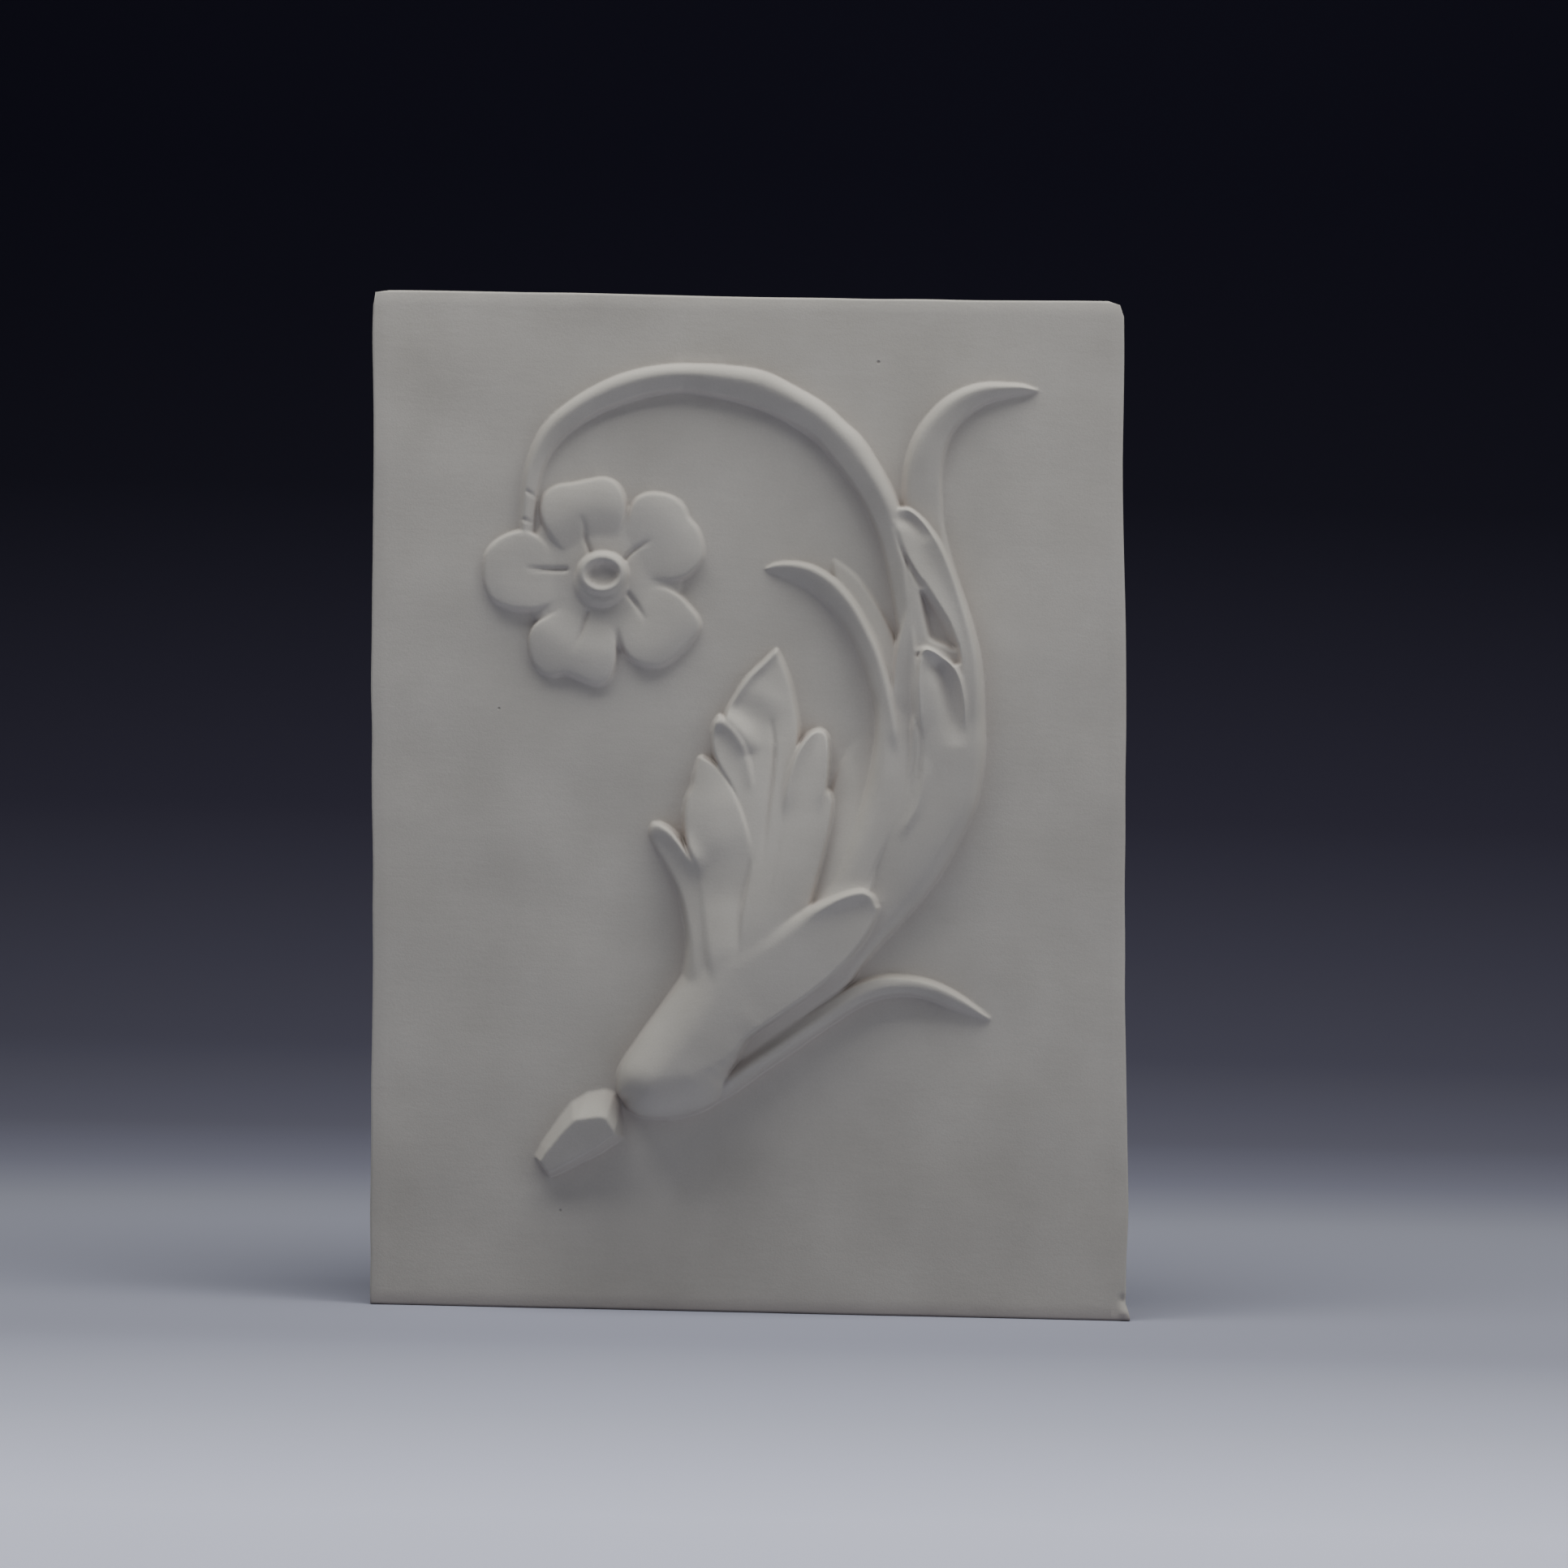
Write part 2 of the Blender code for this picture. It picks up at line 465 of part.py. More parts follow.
def relief_slab():
    """The slab with its carving: one grid is the front, and its border is drawn back into the sides."""
    width = MARGIN_LEFT + ORNAMENT_WIDTH * THOUSANDTH + MARGIN_RIGHT
    height = MARGIN_BELOW + ORNAMENT_HEIGHT + MARGIN_ABOVE
    columns = max(8, round(width / SCULPTING_STEP))
    rows = max(8, round(height / SCULPTING_STEP))
    mesh = bmesh.new()
    bmesh.ops.create_grid(mesh, x_segments=columns, y_segments=rows, size=0.5)
    grid = np.array([vertex.co for vertex in mesh.verts])
    x, fall_x = arris(np.round((grid[:, 0] + 0.5) * columns), columns, width)
    z, fall_z = arris(np.round((grid[:, 1] + 0.5) * rows), rows, height)
    x, z = round_corners(x, z, width, height)

    across = x / width
    z = z * (1 + across * width / height * tan(radians(TOP_RISE)))
    left_side = -z * tan(radians(LEFT_SIDE_LEAN))
    right_side = width - z * tan(radians(RIGHT_SIDE_LEAN))
    fin = CORNER_FIN * np.clip(1 - z / CORNER_FIN_HEIGHT, 0, 1) * (across > 0.9999)
    x = left_side + (right_side - left_side) * across + fin

    lean = radians(ORNAMENT_LEAN)
    from_left = (x - MARGIN_LEFT) / THOUSANDTH
    from_below = (z - MARGIN_BELOW) / THOUSANDTH
    drawn = np.stack([
        from_left * cos(lean) + from_below * sin(lean),
        from_below * cos(lean) - from_left * sin(lean),
    ], 1)
    forward = carve(drawn) * THOUSANDTH - np.maximum(fall_x, fall_z)
    for vertex, place_x, place_y, place_z in zip(mesh.verts, x, -forward, z):
        vertex.co = place_x, place_y, place_z

    number = np.arange(len(mesh.verts)).reshape(rows + 1, columns + 1)
    around = [*number[0, :-1], *number[:-1, -1], *number[-1, :0:-1], *number[:0:-1, 0]]
    mesh.verts.ensure_lookup_table()
    rim = [mesh.verts[k] for k in around]
    back = [mesh.verts.new((vertex.co.x, SLAB_THICKNESS, vertex.co.z)) for vertex in rim]
    for here, beyond in zip(range(-1, len(rim) - 1), range(len(rim))):
        mesh.faces.new((rim[beyond], rim[here], back[here], back[beyond]))
    mesh.faces.new(reversed(back))

    low = np.min([vertex.co for vertex in mesh.verts], axis=0)
    high = np.max([vertex.co for vertex in mesh.verts], axis=0)
    middle = (low + high) / 2
    bmesh.ops.transform(mesh, matrix=Matrix.Translation((-middle[0], -middle[1], -low[2])), verts=mesh.verts)
    triangles = sum(len(face.verts) - 2 for face in mesh.faces)

    data = bpy.data.meshes.new("relief_slab")
    mesh.to_mesh(data)
    mesh.free()
    data.shade_smooth()
    data.set_sharp_from_angle(angle=radians(40))
    slab = bpy.data.objects.new("relief_slab", data)
    bpy.context.scene.collection.objects.link(slab)
    thinned = slab.modifiers.new("Thinned where the surface is plain", "DECIMATE")
    thinned.ratio = min(1, TRIANGLES / triangles)
    return slab


def plaster():
    """Cast gypsum plaster, bare and matt."""
    material = bpy.data.materials.new("Cast plaster")
    material.use_nodes = True
    surface = material.node_tree.nodes["Principled BSDF"]
    surface.inputs["Base Color"].default_value = (0.52, 0.51, 0.49, 1)
    surface.inputs["Roughness"].default_value = 0.9
    return material


for item in list(bpy.data.objects):
    bpy.data.objects.remove(item)
relief_slab().data.materials.append(plaster())
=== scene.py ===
from math import atan, cos, pi, radians, sin, tan

import bmesh
import bpy
import numpy as np
from mathutils import Matrix, Vector


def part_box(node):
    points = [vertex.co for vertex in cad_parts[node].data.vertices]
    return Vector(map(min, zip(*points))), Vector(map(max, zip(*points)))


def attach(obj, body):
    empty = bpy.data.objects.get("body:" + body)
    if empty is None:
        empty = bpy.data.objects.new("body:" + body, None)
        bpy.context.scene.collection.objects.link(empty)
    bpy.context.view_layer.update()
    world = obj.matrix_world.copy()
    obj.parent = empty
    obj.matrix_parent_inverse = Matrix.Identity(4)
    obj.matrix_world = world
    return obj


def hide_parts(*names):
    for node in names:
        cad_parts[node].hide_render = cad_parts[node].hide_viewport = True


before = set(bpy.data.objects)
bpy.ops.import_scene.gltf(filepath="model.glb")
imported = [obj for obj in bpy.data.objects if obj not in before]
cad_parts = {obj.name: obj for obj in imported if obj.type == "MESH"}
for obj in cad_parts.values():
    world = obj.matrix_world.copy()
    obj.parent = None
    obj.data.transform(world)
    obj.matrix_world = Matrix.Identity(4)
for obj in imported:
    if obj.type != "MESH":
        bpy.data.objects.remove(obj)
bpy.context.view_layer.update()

# The relief slab: one solid casting in gypsum plaster, poured into a mould taken from a carved original and
# struck off flat behind. Its sides were trimmed by hand, so they lean a little and wander.
# Sizes are in metres and angles in degrees; x and z run from the foot's left corner.
ORNAMENT_HEIGHT = 0.355
MARGIN_LEFT = 0.0484
MARGIN_RIGHT = 0.0407
MARGIN_BELOW = 0.0568
MARGIN_ABOVE = 0.0319
SLAB_THICKNESS = 0.047
ORNAMENT_LEAN = 1.29
LEFT_SIDE_LEAN = 1.10
RIGHT_SIDE_LEAN = 1.55
TOP_RISE = 0.42
TOP_LEFT_RADIUS = 0.003
TOP_RIGHT_RADIUS = 0.006
FOOT_CORNER_RADIUS = 0.0012
ARRIS_RADIUS = 0.0012
CORNER_FIN = 0.0021
CORNER_FIN_HEIGHT = 0.007

# The carving is drawn in the ornament's own frame, in thousandths of its height: the first number runs right
# from its leftmost petal, the second runs up from its lowest corner, and heights stand out from the ground.
ORNAMENT_WIDTH = 684
THOUSANDTH = ORNAMENT_HEIGHT / 1000
WIDTH = MARGIN_LEFT + ORNAMENT_WIDTH * THOUSANDTH + MARGIN_RIGHT
HEIGHT = MARGIN_BELOW + ORNAMENT_HEIGHT + MARGIN_ABOVE


def through(points, steps=6):
    """A smooth curve through the points."""
    knots = np.array(points, float).reshape(len(points), -1)
    knots = np.vstack([2 * knots[0] - knots[1], knots, 2 * knots[-1] - knots[-2]])
    t = np.linspace(0, 1, steps, endpoint=False)[:, None]
    spans = [
        0.5 * (2 * b + (c - a) * t + (2 * a - 5 * b + 4 * c - d) * t**2 + (3 * b - a - 3 * c + d) * t**3)
        for a, b, c, d in zip(knots, knots[1:], knots[2:], knots[3:])
    ]
    return np.vstack(spans + [knots[-2:-1]])


def closed_through(points, steps=6):
    """A smooth closed curve through the points."""
    points = list(points)
    return through(points[-1:] + points + points[:2], steps)[steps:-steps]


def evenly(curve, count=40):
    """Points at even distances along a curve."""
    reach = np.concatenate([[0], np.cumsum(np.sqrt((np.diff(curve, axis=0) ** 2).sum(1)))])
    return np.stack([np.interp(np.linspace(0, reach[-1], count), reach, axis) for axis in curve.T], 1)


def ellipse(centre, half_width, half_height, points=12):
    """Points on an ellipse, for a closed curve."""
    turns = [2 * pi * count / points for count in range(points)]
    return [(centre[0] + half_width * cos(turn), centre[1] + half_height * sin(turn)) for turn in turns]


def eased(values, share):
    """A value read from evenly spaced ones, smoothly joined, at each share of the way."""
    curve = through([(value,) for value in values])[:, 0]
    return np.interp(share, np.linspace(0, 1, len(curve)), curve)


def nearest(spots, curve):
    """Each spot's distance to a curve, and how far along the curve its nearest point is, from 0 to 1."""
    spans = np.diff(curve, axis=0)
    squares = np.maximum((spans**2).sum(1), 1e-9)
    reach = np.concatenate([[0], np.cumsum(np.sqrt(squares))])
    best = np.full(len(spots), np.inf)
    share = np.zeros(len(spots))
    for start, span, square, low, high in zip(curve, spans, squares, reach, reach[1:]):
        k = np.clip(((spots - start) * span).sum(1) / square, 0, 1)
        distance = ((spots - start - k[:, None] * span) ** 2).sum(1)
        closer = distance < best
        best[closer] = distance[closer]
        share[closer] = (low + (high - low) * k[closer]) / reach[-1]
    return np.sqrt(best), share


def within(spots, outline):
    """True for each spot inside a closed outline."""
    inside = np.zeros(len(spots), bool)
    for (x0, z0), (x1, z1) in zip(outline, np.roll(outline, -1, axis=0)):
        if z0 != z1:
            crosses = (z0 > spots[:, 1]) != (z1 > spots[:, 1])
            inside ^= crosses & (spots[:, 0] < x0 + (spots[:, 1] - z0) * (x1 - x0) / (z1 - z0))
    return inside


def rounded(depth, edge):
    """A quarter-round edge: 0 on the outline, 1 from the edge's width inwards."""
    return np.sqrt(1 - (1 - np.clip(depth / edge, 0, 1)) ** 2)


def sloped(depth, edge):
    """A soft edge that starts and ends level."""
    k = np.clip(depth / edge, 0, 1)
    return k * k * (3 - 2 * k)


def swell(places, middle, reach):
    """A soft swell: 1 in the middle, falling away to both sides."""
    return np.exp(-(((places - middle) / reach) ** 2))


class Relief:
    """The carved surface: a height above the ground for each spot of the slab's front."""

    def __init__(self, spots):
        self.spots = spots
        self.height = np.zeros(len(spots))

    def inside(self, outline):
        """The spots inside an outline, as their numbers."""
        box = ((self.spots >= outline.min(0)) & (self.spots <= outline.max(0))).all(1)
        numbers = np.flatnonzero(box)
        return numbers[within(self.spots[numbers], outline)]

    def beside(self, curve, reach):
        """The spots within reach of a curve: their numbers, distances and places along it."""
        low, high = curve.min(0) - reach, curve.max(0) + reach
        numbers = np.flatnonzero(((self.spots >= low) & (self.spots <= high)).all(1))
        distance, share = nearest(self.spots[numbers], curve)
        close = distance < reach
        return numbers[close], distance[close], share[close]

    def raise_to(self, numbers, height, soft=0.0):
        """Takes the higher of the old and the new surface, with a soft joint between them."""
        old = self.height[numbers]
        joined = np.maximum(old, height)
        if soft:
            joined += np.maximum(soft - np.abs(old - height), 0) ** 2 / (4 * soft) * (height > 0)
        self.height[numbers] = joined

    def lobe(self, left, right, rise, section=(1, 1), edges=(6, 6), tip_section=None, soft=0.0, root=0.0,
             level=None):
        """A form between two edges drawn from root to tip: rise along it, section across it.
        The section may change towards the tip, and so may the width of each rounded edge, given as a row.
        With a level, the rise is added to what that gives for each spot."""
        left, right = through(left), through(right)
        numbers = self.inside(np.vstack([left, right[::-1]]))
        spots = self.spots[numbers]
        to_left, to_right = nearest(spots, left)[0], nearest(spots, right)[0]
        across = to_left / np.maximum(to_left + to_right, 1e-9)
        along = nearest(spots, (evenly(left) + evenly(right)) / 2)[1]
        shape = eased(section, across)
        if tip_section:
            shape = shape * (1 - along) + eased(tip_section, across) * along
        left_edge, right_edge = (eased(edge, along) if isinstance(edge, tuple) else edge for edge in edges)
        height = eased(rise, along) + (level(spots) if level else 0)
        height = height * shape * rounded(to_left, left_edge) * rounded(to_right, right_edge)
        if root:
            height *= sloped(along, root)
        self.raise_to(numbers, height, soft)

    def pad(self, outline, rise, edge):
        """A flat-topped form in a closed outline, with a rounded edge."""
        curve = closed_through(outline)
        numbers = self.inside(curve)
        self.raise_to(numbers, rise * rounded(nearest(self.spots[numbers], curve)[0], edge))

    def petal(self, outline, heart, rise, edge, pillow, crown):
        """A petal that rises from the flower's heart outwards. Over the pillow's width its surface falls by
        the crown, a share of its rise, and over the edge's width it rounds off."""
        curve = closed_through(outline)
        numbers = self.inside(curve)
        spots = self.spots[numbers]
        outwards = np.sqrt(((spots - heart) ** 2).sum(1)) / np.sqrt(((curve - heart) ** 2).sum(1)).max()
        depth = nearest(spots, curve)[0]
        across = 1 - crown * (1 - rounded(depth, pillow))
        self.raise_to(numbers, eased(rise, outwards) * across * rounded(depth, edge))

    def ring(self, path, half_width, rise):
        """A round ring along a closed path."""
        curve = closed_through(path)
        numbers, distance, _ = self.beside(np.vstack([curve, curve[:1]]), half_width)
        self.raise_to(numbers, rise * np.sqrt(1 - (distance / half_width) ** 2))

    def facets(self, corners, slopes, top, tilt):
        """A block cut in flat facets, one rising from each side to a tilted flat top."""
        corners = np.array(corners, float)
        numbers = self.inside(corners)
        spots = self.spots[numbers]
        height = top + ((spots - corners.mean(0)) * tilt).sum(1)
        for start, end, slope in zip(corners, np.roll(corners, -1, axis=0), slopes):
            side = (end - start) / np.linalg.norm(end - start)
            height = np.minimum(height, ((spots - start) * (side[1], -side[0])).sum(1) * slope)
        self.raise_to(numbers, height)

    def pit(self, outline, floor, edge):
        """Sinks the surface inside an outline to a floor."""
        curve = closed_through(outline)
        numbers = self.inside(curve)
        share = sloped(nearest(self.spots[numbers], curve)[0], edge)
        old = self.height[numbers]
        self.height[numbers] = old * (1 - share) + np.minimum(old, floor) * share

    def ridge(self, path, width, rise, ends=(0, 1, 1, 0)):
        """Adds a soft ridge to the carving along a path, or cuts a groove where the rise is below zero.
        The ridge dies out where the carving meets the ground."""
        numbers, distance, along = self.beside(through(path), 3 * width)
        old = self.height[numbers]
        change = rise * eased(ends, along) * swell(distance, 0, width) * sloped(old, 6)
        self.height[numbers] = np.maximum(old + change, np.minimum(old, 0))


def upper_tendril(relief):
    """The blade that leaves the scroll at the upper right and curls over to a thin tip."""
    relief.lobe(
        ((539, 730), (523, 785), (517, 830), (517, 855), (520, 880), (527, 904), (537, 924), (550, 941),
         (564, 955), (580, 966), (599, 974), (619, 978), (644, 978), (666, 976), (684, 969)),
        ((588, 720), (575, 765), (566, 805), (564, 840), (564, 865), (567, 888), (573, 908), (582, 923),
         (594, 937), (609, 948), (624, 955), (644, 960), (664, 964), (684, 968)),
        rise=(9, 8, 8, 9, 12, 15, 16, 15, 13, 10, 6), section=(0.8, 1, 1, 1, 0.95),
        tip_section=(0.5, 1, 0.95, 0.65, 0.35), edges=((9, 5), (5, 2)))


def arch_stem(relief):
    """The long stem that arches over to the flower, with a soft crest along it."""
    relief.lobe(
        ((526, 510), (525, 560), (520, 600), (516, 635), (511, 668), (505, 705), (498, 745), (490, 778),
         (480, 805), (466, 833), (449, 859), (426, 889), (404, 912), (366, 936), (324, 953), (286, 962),
         (246, 968), (204, 963), (156, 948), (122, 930), (95, 907), (78, 882), (69, 855), (65, 830),
         (61, 776)),
        ((538, 510), (537, 560), (538, 600), (539, 635), (537, 670), (533, 705), (530, 735), (526, 770),
         (520, 800), (512, 828), (502, 850), (486, 878), (466, 909), (444, 930), (419, 952), (380, 975),
         (347, 991), (309, 998), (263, 1001), (217, 999), (171, 989), (133, 972), (102, 952), (79, 932),
         (63, 908), (52, 875), (47, 840), (43, 776)),
        rise=(28, 31, 29, 26, 25, 25, 24, 22, 20, 19, 18, 16, 14, 12, 10, 9),
        section=(0.5, 0.68, 0.86, 1, 0.88, 0.45), edges=(2.5, 5))
    # Three small nicks, two of them near the flower.
    for nick in (((55, 844), (65, 837)), ((49, 810), (59, 806)), ((237, 965), (247, 972))):
        relief.ridge(nick, width=1.6, rise=-3, ends=(1, 0.4))


def main_stalk(relief):
    """The thick outer stalk, which rises out of the bulb and carries both bracts."""
    relief.lobe(
        ((304, 160), (344, 235), (389, 300), (434, 355), (470, 400), (496, 440), (512, 480), (521, 520),
         (524, 558), (530, 590), (536, 618)),
        ((307, 132), (330, 147), (364, 174), (404, 203), (444, 231), (466, 258), (488, 285), (518, 317),
         (557, 364), (587, 415), (604, 450), (612, 485), (617, 525), (616, 565), (614, 604), (610, 638)),
        rise=(20, 21, 22, 24, 28, 31, 32, 33, 32), section=(0.9, 0.98, 1, 1, 0.92, 0.74),
        tip_section=(0.85, 0.96, 1, 1, 0.94, 0.78), edges=((12, 5), (4, 5, 9, 18, 18, 14, 14)))
    # The low strip between the broad lobe and the lower tendril.
    relief.lobe(
        ((300, 138), (334, 162), (364, 184), (404, 212), (444, 242), (468, 266), (488, 290)),
        ((302, 110), (334, 130), (364, 148), (404, 175), (444, 203), (468, 221), (492, 238)),
        rise=(12, 11, 10, 8, 6, 3, 0), edges=(2, 2))


def inner_stalk(relief):
    """The inner stalk, its soft foot beside the leaf, and the crested tip that curls over in front."""
    # The foot.
    relief.lobe(
        ((354, 280), (386, 340), (404, 390), (414, 430), (424, 465), (440, 510), (464, 545)),
        ((464, 290), (476, 340), (486, 390), (490, 430), (492, 465), (490, 505), (486, 545)),
        rise=(36, 36, 34, 29, 20, 11, 4, 0), section=(0.4, 0.66, 0.88, 1, 1), edges=(4, 4))
    # The stalk and its tip behind.
    relief.lobe(
        ((374, 300), (406, 350), (434, 398), (456, 442), (472, 485), (481, 525), (484, 560), (482, 598),
         (472, 638), (458, 674), (445, 700), (435, 725), (430, 745), (430, 762)),
        ((464, 300), (474, 340), (488, 380), (502, 410), (516, 442), (525, 475), (530, 510), (532, 545),
         (530, 578), (523, 608), (515, 640), (504, 670), (490, 697), (477, 718), (462, 738), (446, 752),
         (431, 762)),
        rise=(34, 36, 35, 33, 31, 27, 21, 14, 8, 3), section=(0.85, 0.97, 1, 0.98),
        tip_section=(1, 0.85, 0.72, 0.55), edges=((36, 26, 6, 6), (12, 4)))
    # The tip in front.
    relief.lobe(
        ((450, 440), (466, 475), (478, 510), (484, 545), (482, 575), (476, 600), (468, 627), (456, 655),
         (442, 680), (424, 701), (404, 720), (384, 732), (364, 741), (347, 748)),
        ((516, 440), (522, 490), (519, 545), (512, 580), (503, 615), (491, 650), (476, 680), (462, 704),
         (448, 722), (434, 736), (416, 748), (399, 755), (379, 758), (359, 756), (347, 750)),
        rise=(30, 32, 32, 31, 29, 26, 22, 18, 13, 6), section=(0.5, 0.85, 1, 1, 0.9),
        tip_section=(0.12, 0.4, 0.7, 0.92, 1), edges=((12, 3), (20, 5)), soft=3, root=0.3)


def leaf_level(spots):
    """How far the leaf as a whole stands out: most at the bulb, least at its tip and sides."""
    spine = through(((219, 120), (254, 188), (284, 250), (309, 310), (329, 370), (344, 430), (354, 490),
                    (358, 550), (360, 650)))
    aside, along = nearest(spots, spine)
    return eased((57, 57, 55, 50, 42, 33, 24, 16, 10), along) * swell(aside, 0, 115)


def leaf(relief):
    """The acanthus leaf: two side lobes, the long blade, and a curled lobe and two plain ones on it."""
    # The outer side lobe.
    relief.lobe(
        ((224, 180), (242, 230), (250, 280), (247, 320), (240, 350), (226, 380), (212, 404), (205, 420),
         (205, 430), (208, 436)),
        ((334, 230), (316, 270), (300, 320), (288, 355), (274, 379), (256, 398), (244, 414), (232, 428),
         (219, 436), (210, 437)),
        rise=(0, 0, -2, -5, -5, -1, 2), section=(0.72, 0.76, 0.82, 0.92, 1),
        edges=((40, 14, 7, 6, 6), (10, 5)), level=leaf_level)
    # The inner side lobe, and the raised lip of the outer one in front of it.
    relief.lobe(
        ((266, 190), (262, 280), (260, 340), (256, 380), (249, 410), (246, 440), (249, 466), (256, 483),
         (259, 500), (264, 516)),
        ((349, 230), (338, 300), (336, 370), (332, 410), (322, 447), (308, 480), (290, 506), (270, 519)),
        rise=(0, 0, 0, -3, -5, -1, 5, 6, 3, 0), section=(0.84, 0.94, 1, 1, 0.97),
        edges=((30, 16, 7, 5), (5, 4)), level=leaf_level)
    relief.ridge(((210, 431), (226, 426), (240, 414), (253, 398), (264, 385), (275, 378)), width=12,
        rise=8, ends=(0.5, 1, 1, 0.8, 0))
    # The long blade.
    relief.lobe(
        ((264, 190), (297, 270), (312, 330), (324, 378), (322, 410), (313, 445), (302, 478), (293, 510),
         (293, 545), (299, 574), (310, 594), (323, 614), (342, 633), (360, 651)),
        ((364, 200), (382, 270), (392, 320), (396, 358), (398, 388), (397, 422), (394, 456), (392, 490),
         (390, 530), (389, 560), (384, 588), (379, 610), (371, 632), (362, 651)),
        rise=(0, 2, 3, 3, 2, 1, 0, -1, 0), section=(0.95, 0.98, 1, 1, 0.98), edges=((30, 8, 5, 4), (8, 6)),
        level=leaf_level)
    # The lower plain lobe, on the blade's right.
    relief.lobe(
        ((274, 210), (316, 290), (338, 340), (352, 390), (362, 440), (376, 472), (399, 482), (422, 479)),
        ((389, 220), (398, 300), (410, 358), (418, 388), (426, 422), (431, 456), (429, 471), (423, 480)),
        rise=(0, 3, 5, 6, 5, 3), section=(0.9, 0.97, 1.02, 1.04, 1.0), edges=((20, 14, 10), (8, 4)),
        soft=3, level=leaf_level)
    # The curled lobe on the blade's left, and its raised lip.
    relief.lobe(
        ((332, 370), (326, 410), (316, 447), (304, 478), (290, 502), (282, 522), (280, 543), (283, 558),
         (289, 568)),
        ((352, 370), (348, 420), (343, 465), (338, 500), (329, 530), (317, 549), (304, 562), (292, 569)),
        rise=(-4, -1, 2, 5, 6, 5), section=(0.96, 0.9, 0.88, 0.94, 1.0), edges=(5, 12), level=leaf_level)
    relief.ridge(((287, 563), (297, 564), (308, 557), (318, 546), (325, 533), (329, 520)), width=12,
        rise=10, ends=(0.8, 1, 1, 0.7, 0))
    # The upper plain lobe.
    relief.lobe(
        ((356, 410), (361, 450), (367, 480), (376, 508), (386, 529), (398, 544), (407, 550), (414, 552)),
        ((410, 410), (418, 445), (423, 480), (426, 510), (426, 535), (422, 547), (415, 552)),
        rise=(-2, 3, 8, 10, 11, 11), section=(0.95, 1, 1, 1), tip_section=(1.18, 0.86, 0.74, 0.8, 1.0),
        edges=((14, 4), (4, 4)), soft=3, level=leaf_level)
    # The blade's raised left rim, the soft fold across it, and the crease down its middle.
    relief.ridge(((303, 574), (313, 594), (327, 614), (344, 631), (360, 647)), width=5, rise=4,
        ends=(0, 1, 1, 1, 0.6))
    relief.ridge(((316, 600), (336, 597), (356, 586), (370, 564)), width=14, rise=1.5, ends=(0.5, 1, 1, 0))
    relief.ridge(((312, 574), (332, 566), (348, 553), (356, 532)), width=14, rise=-1.5, ends=(0.3, 1, 1, 0))
    relief.ridge(((354, 562), (358, 532), (356, 493), (349, 438), (342, 382)), width=2.5, rise=-4,
        ends=(0.3, 1, 1, 0.7, 0))


def bulb(relief):
    """The bulb, drawn out to the upper right into a broad lobe with a raised rim."""
    relief.lobe(
        ((170, 94), (164, 108), (168, 135), (189, 168), (217, 207), (242, 243), (262, 276), (284, 298),
         (322, 314), (364, 328), (409, 341), (439, 353), (464, 358), (479, 351), (487, 338)),
        ((170, 94), (179, 83), (199, 74), (234, 73), (272, 84), (294, 101), (304, 125), (318, 152),
         (330, 173), (364, 197), (404, 225), (439, 255), (464, 283), (479, 307), (488, 330), (487, 338)),
        rise=(56, 58, 58, 58, 57, 55, 53, 51, 49, 47), section=(0.85, 0.98, 1.04, 1, 0.9, 0.76),
        tip_section=(1.03, 0.94, 0.87, 0.84, 0.83, 0.84),
        edges=((36, 50, 56, 52, 40, 14, 6), (36, 54, 56, 17, 7, 6, 6, 6, 6, 6, 5)), soft=3)
    # The raised rim.
    relief.ridge(((389, 326), (424, 340), (449, 347), (468, 347), (481, 339)), width=10, rise=4,
        ends=(0, 0.8, 1, 1, 0.5))


def lower_tendril(relief):
    """The thin tendril that leaves the bulb and curls away at the lower right."""
    relief.lobe(
        ((266, 125), (284, 136), (300, 144), (309, 150), (329, 162), (348, 173), (369, 186), (389, 198),
         (406, 208), (424, 220), (442, 231), (464, 242), (489, 248), (516, 248), (542, 244), (569, 234),
         (596, 218), (624, 196)),
        ((254, 81), (279, 88), (309, 105), (339, 127), (374, 151), (411, 177), (444, 199), (476, 217),
         (511, 224), (544, 221), (579, 207), (623, 193)),
        rise=(22, 30, 29, 26, 23, 20, 17, 12, 4), section=(0.5, 0.58, 0.95, 0.96, 0.6),
        tip_section=(0.8, 1, 0.9, 0.72, 0.5),
        edges=((3, 4), (20, 14, 8, 6, 4, 3, 2)), soft=2, root=0.12)


